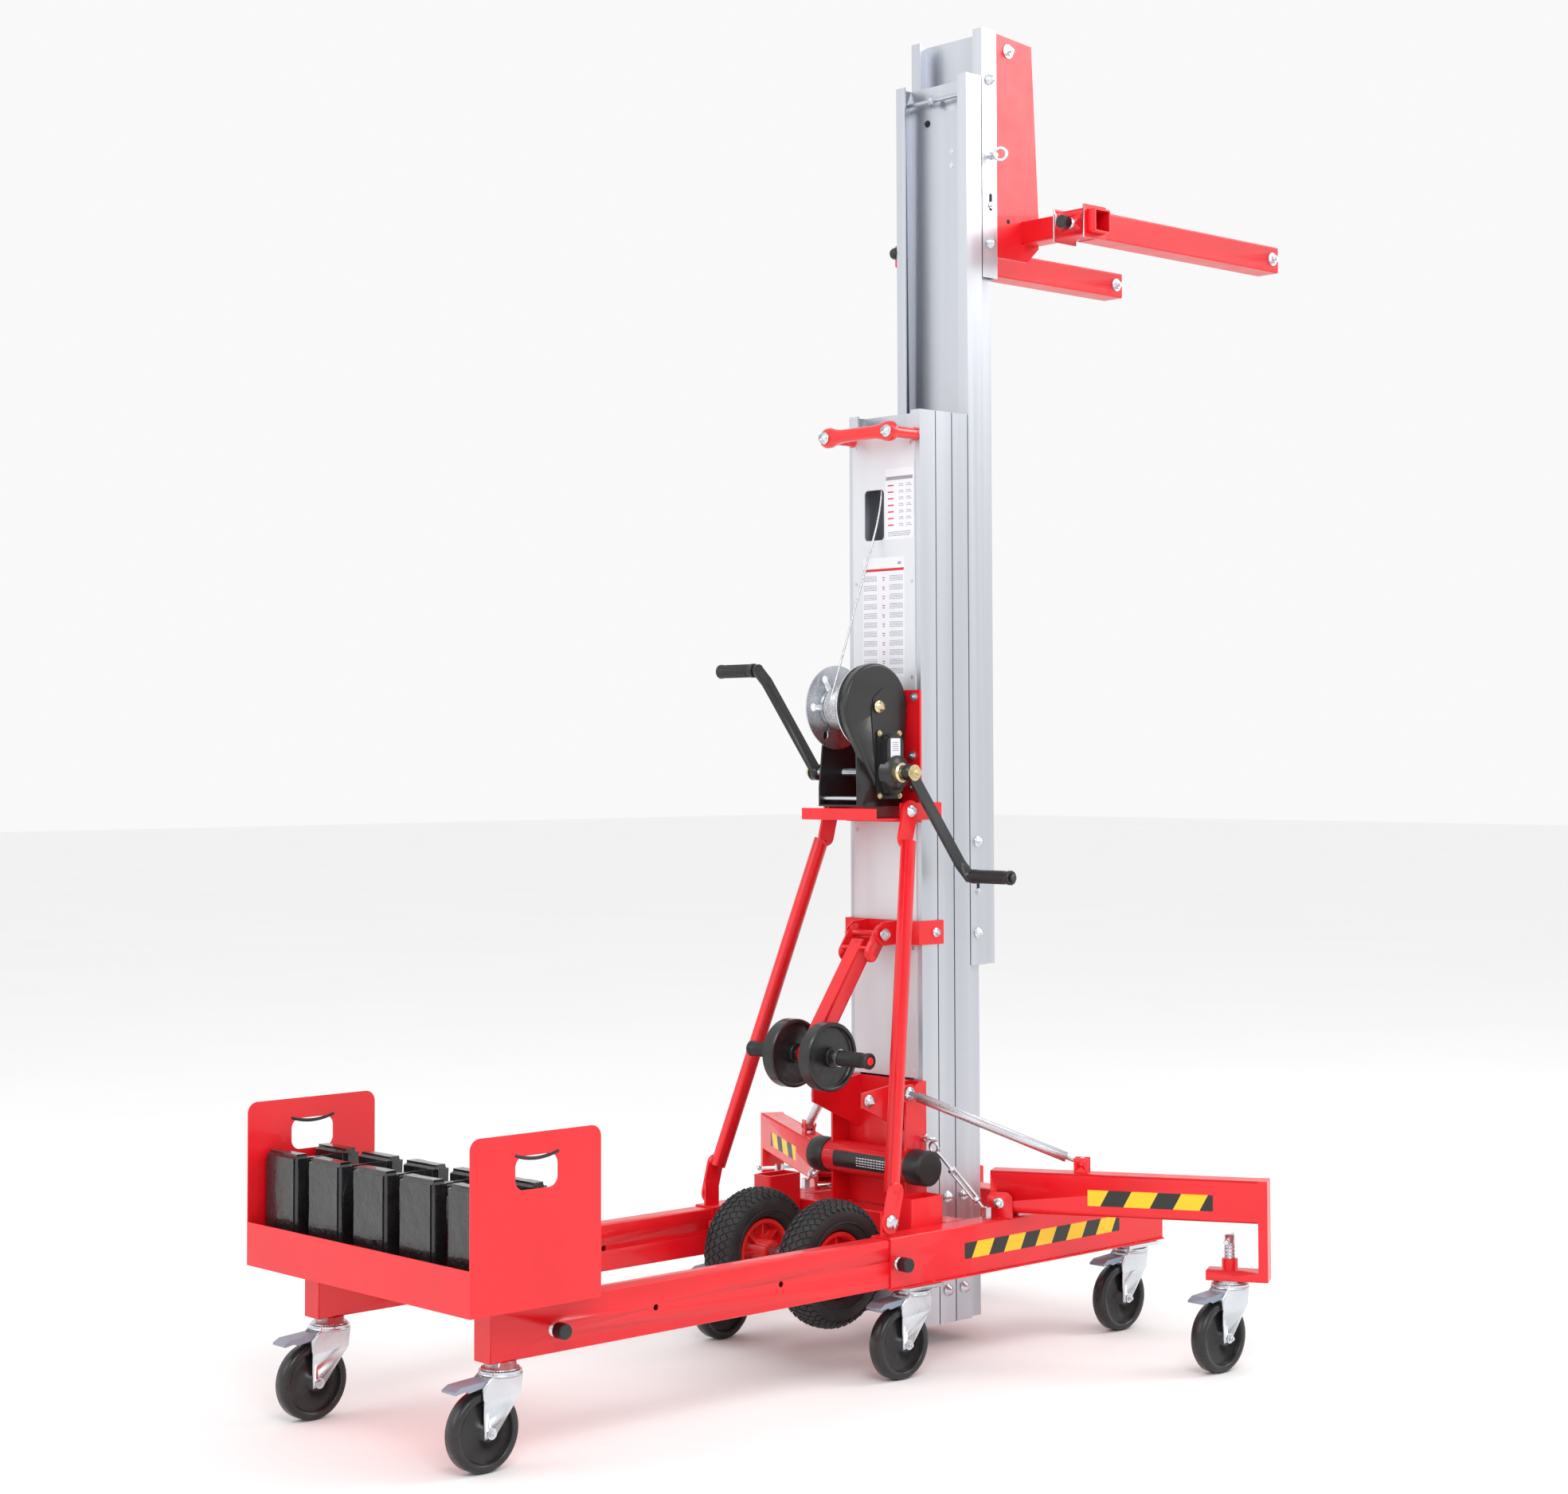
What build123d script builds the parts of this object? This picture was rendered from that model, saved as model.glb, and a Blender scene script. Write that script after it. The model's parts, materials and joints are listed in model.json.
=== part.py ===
"""Counterbalanced telescopic material lift: wheeled steel base, four-stage aluminium mast,
hand winch, forks, folding outriggers and a rear weight tray.  Millimetres, +Z up, +X forwards.
The origin is on the floor below the centre of the bounding box; Y = 0 is the symmetry plane."""
from math import atan2, cos, radians, sin, tan
import os

from build123d import *

os.makedirs("parts", exist_ok=True)

# ---------------------------------------------------------------- driving dimensions
# overall reach, measured from the rear face of the fixed mast section
tray_rear_reach = 1433.4
fork_reach = 1105.0
mast_x = (tray_rear_reach - fork_reach) / 2

# fits
run_fit = 0.05  # radial clearance of a turning shaft
slide_gap = 0.4  # clearance of a telescoping profile
face_gap = 0.3  # clearance between faces that move past each other
bolt_seat = 0.05  # gap that keeps a fastener a piece of its own

# base frame
beam_centre_y = 280.0
beam_front = 589.0
beam_rear = -302.0
beam_bottom = 194.0
beam_wall = 3.6
cross_tube = 64.0
front_cross_x = 330.0

# telescopic rear beams
slide_width = 50.0
slide_height = 100.0
slide_wall = 3.0
slide_rear = -1338.0
slide_front = -76.0
lock_hole_pitch = 330.0
lock_hole_r = 6.0
lock_x = -282.0

# weight tray
tray_depth = 302.3
tray_width = 738.4
tray_wall = 3.0
tray_rim_height = 85.0
tray_side_height = 320.0
weight_count = 5
weight_plate = 40.0
weight_span = 155.0
weight_width = 113.0
weight_height = 222.0
weight_pitch = 152.0

# casters
caster_wheel_r = 75.0
caster_wheel_width = 36.0
caster_trail = 42.0
caster_axle_r = 6.0
caster_leg = 3.0
kingpin_r = 8.0

# pneumatic wheels
tyre_r = 136.0
tyre_width = 82.0
rim_r = 70.0
wheel_axle_r = 10.0
wheel_x = -290.0
wheel_y = 116.0
wheel_z = 223.5

# mast
section_width = 224.6
section_depth = 50.0
section_pitch = 53.0
section_wall = 4.0
section_length = 2041.0
section_bottom = 45.0
flange_width = 28.0
rail_neck_y = 66.0
rail_outer_y = 100.0
rail_depth = 42.0
raised = 789.0  # how far the front section stands above the others
carriage_length = 580.0
carriage_overlap = 466.0  # how far the carriage reaches down inside the raised section

# forks
fork_tube = 64.0
fork_rise = 91.0  # fork underside above the carriage's lower end
fork_y = 250.0
crossbar_x = 392.0
crossbar_width = 640.0
crossbar_tube = 54.0
sleeve_length = 90.0

# winch
drum_x = -107.0
drum_z = 1417.0
drum_r = 45.0
drum_flange_r = 94.0
drum_half_width = 50.0
drum_axle_r = 10.0
crank_x = -72.0
crank_z = 1271.0
crank_shaft_r = 9.0
crank_arm_r = 272.0
crank_arm_y = 190.0
crank_hub_y = 150.0
grip_length = 118.0
grip_r = 16.0
rope_r = 2.5

# loading arm
arm_pivot_x = -60.0
arm_pivot_z = 911.0
arm_axle_x = -240.0
arm_axle_z = 655.0
roller_r = 75.0
roller_y = 65.0
roller_width = 34.0

# outriggers
outrigger_angle = 60.0
outrigger_root = (78.0, 276.0, 334.0)
outrigger_length = 560.0
outrigger_tube = (56.0, 90.0)
outrigger_wall = 3.5
stay_mount = (-58.0, 566.0)
stay_r = 11.0
side_socket_x = -130.0
foot_thickness = 20.0
screw_r = 11.0

# ---------------------------------------------------------------- derived sizes
beam_width = slide_width + 2 * (beam_wall + slide_gap)
beam_height = slide_height + 2 * (beam_wall + slide_gap)
beam_top = beam_bottom + beam_height
beam_outer_y = beam_centre_y + beam_width / 2
beam_inner_y = beam_centre_y - beam_width / 2
slide_bottom = beam_bottom + beam_wall + slide_gap
slide_top = slide_bottom + slide_height
side_y = section_width / 2
section_top = section_bottom + section_length
carriage_bottom = section_top + raised - carriage_overlap
fork_bottom = carriage_bottom + fork_rise
tray_bottom = beam_top + 0.5
tray_rear = -tray_rear_reach
cover_plate = 3.0
caster_crown_z = 172.0


def ahead(x: float) -> float:
    """World X of a point that lies x in front of the fixed mast section's rear face."""
    return mast_x + x


def block(x: tuple, y: tuple, z: tuple) -> Part:
    """Rectangular solid between two corners, with x measured from the mast."""
    with BuildPart() as solid:
        with Locations((ahead(sum(x) / 2), sum(y) / 2, sum(z) / 2)):
            Box(abs(x[1] - x[0]), abs(y[1] - y[0]), abs(z[1] - z[0]))
    return solid.part


def both_sides(shape: Part) -> list:
    """A left-hand piece and its mirror image."""
    return [shape, mirror(shape, about=Plane.XZ)]


def rod(start: tuple, end: tuple, radius: float, bore: float = 0.0) -> Part:
    """Round bar or tube between two points given in world coordinates."""
    direction = Vector(*end) - Vector(*start)
    with BuildPart(Plane(origin=start, z_dir=direction)) as bar:
        Cylinder(radius, direction.length, align=(Align.CENTER, Align.CENTER, Align.MIN))
        if bore:
            Cylinder(bore, direction.length, align=(Align.CENTER, Align.CENTER, Align.MIN), mode=Mode.SUBTRACT)
    return bar.part


def box_tube(start: tuple, end: tuple, width: float, height: float, wall: float, up=(0, 0, 1)) -> Part:
    """Rectangular tube between two points; its height runs along up."""
    direction = Vector(*end) - Vector(*start)
    side = Vector(*up).cross(direction)
    with BuildPart(Plane(origin=start, x_dir=side, z_dir=direction)) as tube:
        with BuildSketch(Plane(origin=start, x_dir=side, z_dir=direction)):
            RectangleRounded(width, height, wall * 1.2)
            RectangleRounded(width - 2 * wall, height - 2 * wall, wall * 0.4, mode=Mode.SUBTRACT)
        extrude(amount=direction.length)
    return tube.part


def bolt(face: tuple, out: tuple, size: float, acorn: bool = False) -> Part:
    """Washer and hexagon head standing on a face; an acorn nut is domed."""
    seat = Plane(origin=face, z_dir=out).offset(bolt_seat)
    with BuildPart(seat) as head:
        Cylinder(size * 1.15, size * 0.2, align=(Align.CENTER, Align.CENTER, Align.MIN))
        with BuildSketch(seat.offset(size * 0.2)):
            RegularPolygon(size * 0.9, 6)
        extrude(amount=size * 0.65)
        if acorn:
            with Locations((0, 0, size * 0.85)):
                Sphere(size * 0.7, arc_size1=0)
    return head.part


def plunger(face: tuple, out: tuple) -> Part:
    """Spring plunger: threaded collar and a black pull knob."""
    with BuildPart(Plane(origin=face, z_dir=out)) as knob:
        Cylinder(13, 7, align=(Align.CENTER, Align.CENTER, Align.MIN))
        with Locations((0, 0, 7)):
            Cylinder(8, 5, align=(Align.CENTER, Align.CENTER, Align.MIN))
        with Locations((0, 0, 12)):
            Cylinder(15, 24, align=(Align.CENTER, Align.CENTER, Align.MIN))
        fillet(knob.edges().group_by(Axis(face, out))[-1], 3)
    return knob.part


def plate(points: list, y: tuple, corner: float = 0.0) -> Part:
    """Flat plate cut to an outline in the XZ plane, with x measured from the mast."""
    with BuildPart() as sheet:
        with BuildSketch(Plane.XZ.offset(-y[1])) as outline:
            with BuildLine():
                Polyline(*[(ahead(x), z) for x, z in points], close=True)
            make_face()
            if corner:
                fillet(outline.vertices(), corner)
        extrude(amount=y[1] - y[0])
    return sheet.part


def save(name: str, builder: BuildPart) -> None:
    """Label a finished sub-part and write its STEP file."""
    builder.part.label = name
    export_step(builder.part, f"parts/{name}.step")


# ---------------------------------------------------------------- casters
def caster_mount(bottom: float, stem: bool) -> Part:
    """Fixed half of a caster about the swivel axis: plate or disc, ball race and kingpin."""
    race_bottom = caster_crown_z + 10 + face_gap
    with BuildPart() as mount:
        with Locations((0, 0, race_bottom)):
            Cylinder(36, 4, align=(Align.CENTER, Align.CENTER, Align.MIN))
        with Locations((0, 0, race_bottom + 4)):
            if stem:
                Cylinder(30, bottom - race_bottom - 4, align=(Align.CENTER, Align.CENTER, Align.MIN))
            else:
                Box(104, 84, bottom - race_bottom - 4, align=(Align.CENTER, Align.CENTER, Align.MIN))
        with Locations((0, 0, caster_crown_z - 6)):
            Cylinder(kingpin_r, race_bottom - caster_crown_z + 6, align=(Align.CENTER, Align.CENTER, Align.MIN))
            Cylinder(14, 6 - face_gap, align=(Align.CENTER, Align.CENTER, Align.MIN))
    return mount.part


def caster_yoke() -> list:
    """Swivelling fork of a caster with its axle and brake pedal, about the swivel axis."""
    half_gap = caster_wheel_width / 2 + 3
    heel = (-caster_trail - 12, 132)
    leg_rounds = {-1: ((-56, 158), heel), 1: ((-caster_trail + 14, caster_wheel_r - 7), heel)}
    with BuildPart() as yoke:
        with Locations((0, 0, caster_crown_z)):
            Cylinder(40, 10, align=(Align.CENTER, Align.CENTER, Align.MIN))
        for side in (-1, 1):
            with BuildSketch(Plane.XZ.offset(side * half_gap)) as leg:
                with BuildLine():
                    Polyline((-34, caster_crown_z + 4), (34, caster_crown_z + 4), (30, 138),
                             (-caster_trail + 14, caster_wheel_r - 7),
                             (-caster_trail - 12, caster_wheel_r - 11), (-caster_trail - 12, 132), (-56, 138), (-56, 158), close=True)
                make_face()
                fillet([leg.vertices().sort_by_distance((x, z, 0))[0] for x, z in leg_rounds[side]], 9)
            extrude(amount=side * caster_leg)
        with Locations((0, 0, caster_crown_z - 8)):
            Cylinder(kingpin_r + run_fit, 40, align=(Align.CENTER, Align.CENTER, Align.MIN), mode=Mode.SUBTRACT)
        axle_length = 2 * (half_gap + caster_leg + 5)
        with Locations(Location((-caster_trail, 0, caster_wheel_r), (90, 0, 0))):
            Cylinder(caster_axle_r, axle_length)
        for side in (-1, 1):
            with Locations(Location((-caster_trail, side * (half_gap + caster_leg + 3), caster_wheel_r), (90, 0, 0))):
                Cylinder(9.5, 6)
    with BuildPart() as pedal:
        with BuildSketch(Plane.XZ.offset(face_gap - half_gap)) as profile:
            with BuildLine():
                Polyline((-46, 160), (-46, 170), (-104, 166), (-118, 158), (-118, 153), (-94, 157), (-86, 153),
                         close=True)
            make_face()
            fillet(profile.vertices().sort_by(Axis.X)[:2], 2)
        extrude(amount=2 * (half_gap - face_gap))
    return [yoke.part, pedal.part]


def caster_wheel() -> Part:
    """Solid caster wheel with recessed sides and a hub, about its swivel axis."""
    half = caster_wheel_width / 2
    with BuildPart() as wheel:
        with BuildSketch(Plane.XZ) as profile:
            with BuildLine():
                Polyline((caster_axle_r + run_fit, -half - 2), (17, -half - 2), (17, -8), (caster_wheel_r - 19, -8), (caster_wheel_r - 15, -half),
                         (caster_wheel_r - 5, -half), (caster_wheel_r, -half + 6), (caster_wheel_r, half - 6),
                         (caster_wheel_r - 5, half), (caster_wheel_r - 15, half), (caster_wheel_r - 19, 8), (17, 8), (17, half + 2),
                         (caster_axle_r + run_fit, half + 2), close=True)
            make_face()
        revolve(axis=Axis.Z)
    return Location((-caster_trail, 0, caster_wheel_r), (90, 0, 0)) * wheel.part


# tip of an outrigger and its screw, in world coordinates for the left side
root_x, root_y, root_z = outrigger_root
reach = Vector(cos(radians(outrigger_angle)), sin(radians(outrigger_angle)), 0)
outrigger_pivot = Vector(ahead(root_x), root_y, root_z)
screw_offset = outrigger_length - 84
screw_point = outrigger_pivot + reach * (screw_offset + foot_thickness)
yoke_solids = caster_yoke()
wheel_solid = caster_wheel()
caster_places = {
    "rear": (ahead(slide_rear + 40), beam_centre_y),
    "middle": (ahead(beam_rear + 94), beam_centre_y),
    "front": (ahead(beam_front - 82), beam_centre_y),
    "outrigger": (screw_point.X, screw_point.Y),
}
for place, (x, y) in caster_places.items():
    for side, name in ((1, "left"), (-1, "right")):
        with BuildPart() as yoke:
            with Locations((x, side * y, 0)):
                add(yoke_solids)
        save(f"{place}_caster_yoke_{name}", yoke)
        with BuildPart() as wheel:
            with Locations((x, side * y, 0)):
                add(wheel_solid)
        save(f"{place}_caster_wheel_{name}", wheel)

with BuildPart() as caster_mounts:
    for place in ("middle", "front"):
        x, y = caster_places[place]
        with Locations((x, y, 0), (x, -y, 0)):
            add(caster_mount(beam_bottom, stem=False))
save("caster_mounts", caster_mounts)

# ---------------------------------------------------------------- base frame
with BuildPart() as side_beams:
    for side in (-1, 1):
        centre = (slide_bottom + slide_top) / 2
        add(box_tube((ahead(beam_rear), side * beam_centre_y, centre), (ahead(beam_front), side * beam_centre_y, centre),
                     beam_width, beam_height, beam_wall))
    for side in (-1, 1):
        with Locations(Location((ahead(lock_x), side * beam_outer_y, (slide_bottom + slide_top) / 2), (90, 0, 0))):
            Cylinder(lock_hole_r, 4 * beam_wall, mode=Mode.SUBTRACT)
save("side_beams", side_beams)

with BuildPart() as cross_beams:
    for x0 in (-cross_tube - 12, front_cross_x):
        add(box_tube((ahead(x0 + cross_tube / 2), -beam_inner_y, beam_top - cross_tube * 0.7),
                     (ahead(x0 + cross_tube / 2), beam_inner_y, beam_top - cross_tube * 0.7),
                     cross_tube, cross_tube * 1.4, 3.5))
save("cross_beams", cross_beams)

axle_bracket_y = beam_inner_y - 4
with BuildPart() as wheel_axle:
    add(rod((ahead(wheel_x), -axle_bracket_y, wheel_z), (ahead(wheel_x), axle_bracket_y, wheel_z), wheel_axle_r))
    for side in (-1, 1):
        add(block((wheel_x - 24, wheel_x + 24), (side * axle_bracket_y, side * beam_inner_y), (wheel_z - 28, wheel_z + 50)))
        add(rod((ahead(wheel_x), side * (wheel_y + 52), wheel_z), (ahead(wheel_x), side * axle_bracket_y, wheel_z), 17))
    add(rod((ahead(wheel_x), -(wheel_y - 52), wheel_z), (ahead(wheel_x), wheel_y - 52, wheel_z), 17))
save("wheel_axle", wheel_axle)

# pneumatic wheels
def tyre() -> Part:
    """Inflated tyre about the Z axis."""
    half = tyre_width / 2
    with BuildPart() as body:
        with BuildSketch(Plane.XZ):
            with BuildLine():
                Spline((rim_r, half * 0.62), (rim_r + 22, half * 0.97), (tyre_r - 22, half * 0.92), (tyre_r - 4, half * 0.55),
                       (tyre_r, 0), (tyre_r - 4, -half * 0.55), (tyre_r - 22, -half * 0.92), (rim_r + 22, -half * 0.97),
                       (rim_r, -half * 0.62))
                Line((rim_r, -half * 0.62), (rim_r, half * 0.62))
            make_face()
        revolve(axis=Axis.Z)
    return body.part


def rim() -> Part:
    """Spoked rim with a hub tube, about the Z axis."""
    half = tyre_width * 0.31
    with BuildPart() as body:
        with BuildSketch(Plane.XZ):
            with BuildLine():
                Polyline((rim_r - 8, -half), (rim_r, -half), (rim_r, half), (rim_r - 8, half), (rim_r - 12, half - 6),
                         (rim_r - 12, -half + 6), close=True)
            make_face()
        revolve(axis=Axis.Z)
        Cylinder(26, 2 * 46)
        for k in range(8):
            with Locations(Location((0, 0, 0), (0, 0, 45 * k))):
                with Locations(((rim_r - 12 + 22) / 2, 0, 0)):
                    Box(rim_r - 12 - 20, 5, 2 * half - 14)
        Cylinder(rim_r - 10, 4)
        Cylinder(wheel_axle_r + run_fit, 120, mode=Mode.SUBTRACT)
    return body.part


tyre_solid = tyre()
rim_solid = rim()
for side, name in ((1, "left"), (-1, "right")):
    spot = Location((ahead(wheel_x), side * wheel_y, wheel_z), (90, 0, 0))
    with BuildPart() as one_tyre:
        with Locations(spot):
            add(tyre_solid)
    save(f"tyre_{name}", one_tyre)
    with BuildPart() as one_rim:
        with Locations(spot):
            add(rim_solid)
    save(f"rim_{name}", one_rim)


# ---------------------------------------------------------------- telescopic rear beams
slide_mid = (slide_bottom + slide_top) / 2
with BuildPart() as slide_beams:
    for side in (-1, 1):
        add(box_tube((ahead(slide_rear), side * beam_centre_y, slide_mid), (ahead(slide_front), side * beam_centre_y, slide_mid),
                     slide_width, slide_height, slide_wall))
        add(block((slide_rear - 2, slide_rear), (side * (beam_centre_y - slide_width / 2 + 1),
                                                 side * (beam_centre_y + slide_width / 2 - 1)),
                  (slide_bottom + 1, slide_top - 1)))
    for side in (-1, 1):
        for k in range(3):
            hole = (ahead(lock_x - k * lock_hole_pitch), side * beam_centre_y, slide_mid)
            with Locations(Location(hole, (90, 0, 0))):
                Cylinder(lock_hole_r, slide_width + 10, mode=Mode.SUBTRACT)
    rear_x, rear_y = caster_places["rear"]
    rear_mount = caster_mount(slide_bottom, stem=True)
    with Locations((rear_x, rear_y, 0), (rear_x, -rear_y, 0)):
        add(rear_mount)
    for side in (-1, 1):
        knob_face = (ahead(slide_rear + 147), side * (beam_centre_y + slide_width / 2), slide_mid - 6)
        add(plunger(knob_face, (0, side, 0)))
save("extension_beams", slide_beams)

# ---------------------------------------------------------------- weight tray
tray_front = tray_rear + tray_depth
tray_half = tray_width / 2
with BuildPart() as tray:
    add(block((tray_rear, tray_front), (-tray_half, tray_half), (tray_bottom, tray_bottom + tray_wall)))
    for x0 in (tray_rear, tray_front - tray_wall):
        add(block((x0, x0 + tray_wall), (-tray_half, tray_half), (tray_bottom, tray_bottom + tray_rim_height)))
    for side in (-1, 1):
        with BuildSketch(Plane.XZ.offset(side * (tray_half - tray_wall))) as panel:
            with Locations((ahead((tray_rear + tray_front) / 2), tray_bottom)):
                Rectangle(tray_depth, tray_side_height, align=(Align.CENTER, Align.MIN))
            fillet(panel.vertices().group_by(Axis.Y)[-1], 22)
            with Locations((ahead((tray_rear + tray_front) / 2), tray_bottom + tray_side_height - 72)):
                RectangleRounded(100, 62, 20, mode=Mode.SUBTRACT)
        extrude(amount=side * tray_wall)
    for side in (-1, 1):
        add(block((tray_rear + 30, tray_front - 6), (side * (beam_centre_y - 20), side * (beam_centre_y + 20)),
                  (slide_top, tray_bottom)))
save("tray", tray)

weight_floor = tray_bottom + tray_wall
weight_front = tray_rear + 33
with BuildPart() as counterweights:
    for k in range(weight_count):
        y = weight_pitch * (k - (weight_count - 1) / 2)
        for x in (weight_front + weight_plate / 2, weight_front + weight_span - weight_plate / 2):
            with BuildPart(mode=Mode.PRIVATE) as end_plate:
                with Locations((ahead(x), y, weight_floor + weight_height / 2)):
                    Box(weight_plate, weight_width, weight_height)
                fillet(end_plate.edges().filter_by(Axis.X), 8)
            add(end_plate.part)
        bar_z = weight_floor + weight_height - 28
        add(rod((ahead(weight_front + 10), y, bar_z), (ahead(weight_front + weight_span - 10), y, bar_z), 13))
save("counterweights", counterweights)


# ---------------------------------------------------------------- telescopic mast
def mast_profile(x0: float, bottom: float, length: float, rails: bool) -> Part:
    """One aluminium mast section: web, side walls, rear lips and optional front rails."""
    rear_lip = section_wall
    with BuildPart() as section:
        for side in (-1, 1):
            add(block((x0, x0 + section_depth), (side * (side_y - section_wall), side * side_y), (bottom, bottom + length)))
            add(block((x0, x0 + rear_lip), (side * (side_y - flange_width), side * side_y), (bottom, bottom + length)))
        add(block((x0 + section_depth - section_wall, x0 + section_depth), (-side_y, side_y), (bottom, bottom + length)))
        if rails:
            lip_front = section_pitch + rear_lip
            rail_plate = lip_front + slide_gap
            rail_top = bottom + length - 80
            for side in (-1, 1):
                neck = (side * rail_neck_y, side * (rail_neck_y + section_wall))
                outer = (side * (rail_outer_y - section_wall), side * rail_outer_y)
                add(block((x0 + section_depth, x0 + rail_plate), neck, (bottom, rail_top)))
                add(block((x0 + rail_plate, x0 + rail_plate + section_wall), (neck[0], outer[1]), (bottom, rail_top)))
                add(block((x0 + rail_plate, x0 + section_depth + rail_depth), outer, (bottom, rail_top)))
    return section.part


sheave_r = 14.0
sheave_pin_r = 5.0
inner_y = side_y - section_wall


def sheave_set(x0: float, top: float) -> list:
    """Rope sheave on a pin between the side walls near the top of a mast section."""
    centre_x = ahead(x0 + section_depth / 2)
    pin_z = top - 40
    with BuildPart(Plane(origin=(centre_x, 13, pin_z), z_dir=(0, 1, 0))) as sheave:
        Cylinder(sheave_r, 14)
        Torus(sheave_r, rope_r + 0.4, mode=Mode.SUBTRACT)
        Cylinder(sheave_pin_r + run_fit, 20, mode=Mode.SUBTRACT)
    return [rod((centre_x, -inner_y, pin_z), (centre_x, inner_y, pin_z), sheave_pin_r), sheave.part]


def side_bolts(x0: float, heights: tuple, sides: tuple = (-1, 1)) -> list:
    """Acorn nuts on the side walls of a mast section."""
    places = [(ahead(x0 + section_depth / 2), side * side_y, z) for side in sides for z in heights]
    return [bolt(p, (0, 1 if p[1] > 0 else -1, 0), 11, acorn=True) for p in places]


def buffer(x0: float, bottom: float, top: float) -> list:
    """Travel stop in a section's front channel: steel block with a rubber pad on top."""
    front = x0 + section_depth
    return [block((front, front + 30), (-48, 48), (bottom, top - 10)),
            block((front + 4, front + 28), (-44, 44), (top - 10, top))]


raised_bottom = section_bottom + raised
nut_heights = (72.0, 279.0)  # acorn nuts above the lower end of a section
buffer_heights = {3: (10.0, 66.0), 4: (89.0, 145.0)}
with BuildPart() as mast_section_1:
    add(mast_profile(0, section_bottom, section_length, rails=True))
    add(sheave_set(0, section_top))
save("mast_section_1", mast_section_1)
for number, bottom in ((2, section_bottom), (3, section_bottom), (4, raised_bottom)):
    start = (number - 1) * section_pitch
    with BuildPart() as section:
        add(mast_profile(start, bottom, section_length, rails=True))
        add(sheave_set(start, bottom + section_length))
        add(side_bolts(start, tuple(bottom + height for height in nut_heights)))
        if number in buffer_heights:
            low, high = buffer_heights[number]
            add(buffer(start, bottom + low, bottom + high))
    save(f"mast_section_{number}", section)

carriage_x = 4 * section_pitch
carriage_front = carriage_x + section_depth
carriage_top = carriage_bottom + carriage_length
with BuildPart() as carriage:
    add(mast_profile(carriage_x, carriage_bottom, carriage_length, rails=False))
    add(side_bolts(carriage_x, (carriage_bottom + 81, carriage_top - 119)))
save("carriage", carriage)

# rear cover with the rope window
cover_bottom = 592.0
cover_top = section_top - 40
window_y = (-2.0, 60.0)
window_z = (section_top - 289, section_top - 174)
cover_half = 98.0
cover_seam = section_top - 316
with BuildPart() as mast_cover:
    add(block((-cover_plate, 0), (-cover_half, cover_half), (cover_bottom, cover_seam)))
    add(block((-cover_plate, 0), (-cover_half, cover_half), (cover_seam + bolt_seat, cover_top)))
    with BuildSketch(Plane.YZ.offset(ahead(-cover_plate))):
        with Locations((sum(window_y) / 2, sum(window_z) / 2)):
            RectangleRounded(window_y[1] - window_y[0], window_z[1] - window_z[0], 10)
    extrude(amount=cover_plate, mode=Mode.SUBTRACT)
save("mast_cover", mast_cover)

# carrying handle near the top
handle_z = section_top - 56
handle_x = -80.0
handle_bolt_y = 99.0
handle_face = 12.0  # half the thickness of the cast bar
with BuildPart() as top_handle:
    add(rod((ahead(handle_x), -handle_bolt_y, handle_z), (ahead(handle_x), handle_bolt_y, handle_z), handle_face))
    for side in (-1, 1):
        y = side * handle_bolt_y
        add(rod((ahead(handle_x - handle_face), y, handle_z), (ahead(handle_x + handle_face), y, handle_z), 22))
        add(rod((ahead(handle_x + handle_face), y, handle_z), (ahead(-cover_plate), y, handle_z), 13))
save("top_handle", top_handle)

# ---------------------------------------------------------------- mast socket and bumper
socket_bottom = beam_top
socket_plate = 6.0
socket_y = side_y + slide_gap
bumper_x = -46.0
bumper_z = 405.0
bumper_r = 36.0
stay_x, stay_z = stay_mount
wing_y = socket_y + socket_plate
ear_bolt_x = -139.0
ear_bolt_z = 552.0
web_x = -9.4
with BuildPart() as mast_socket:
    add(block((web_x, web_x + socket_plate), (-wing_y, wing_y), (socket_bottom, 588)))
    for side in (-1, 1):
        near = side * socket_y
        far = side * wing_y
        add(plate([(-60, socket_bottom), (4, socket_bottom), (4, 588), (-12, 588), (-60, 560)], (min(near, far), max(near, far))))
        add(plate([(web_x, 588), (web_x, 470), (ear_bolt_x - 18, ear_bolt_z - 14), (ear_bolt_x - 18, ear_bolt_z + 18)],
                  (side * 78 - 3, side * 78 + 3)))
        wing = (side * wing_y, side * (wing_y + 5))
        add(block((stay_x - 16, stay_x + 16), wing, (stay_z - 18, stay_z + 18)))
        add(block((stay_x + 6, stay_x + 16), (side * (socket_y + 2), side * (wing_y + 5)), (stay_z - 18, stay_z + 18)))
    with Locations(Location((ahead(bumper_x), 0, bumper_z), (90, 0, 0))):
        Cylinder(bumper_r + face_gap, 400, mode=Mode.SUBTRACT)
save("mast_socket", mast_socket)

with BuildPart() as bumper_tube:
    add(rod((ahead(bumper_x), -150, bumper_z), (ahead(bumper_x), 150, bumper_z), bumper_r, bumper_r - 3))
    for side in (-1, 1):
        add(rod((ahead(bumper_x), side * 150, bumper_z), (ahead(bumper_x), side * 176, bumper_z), bumper_r + 2))
save("bumper_tube", bumper_tube)

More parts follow.
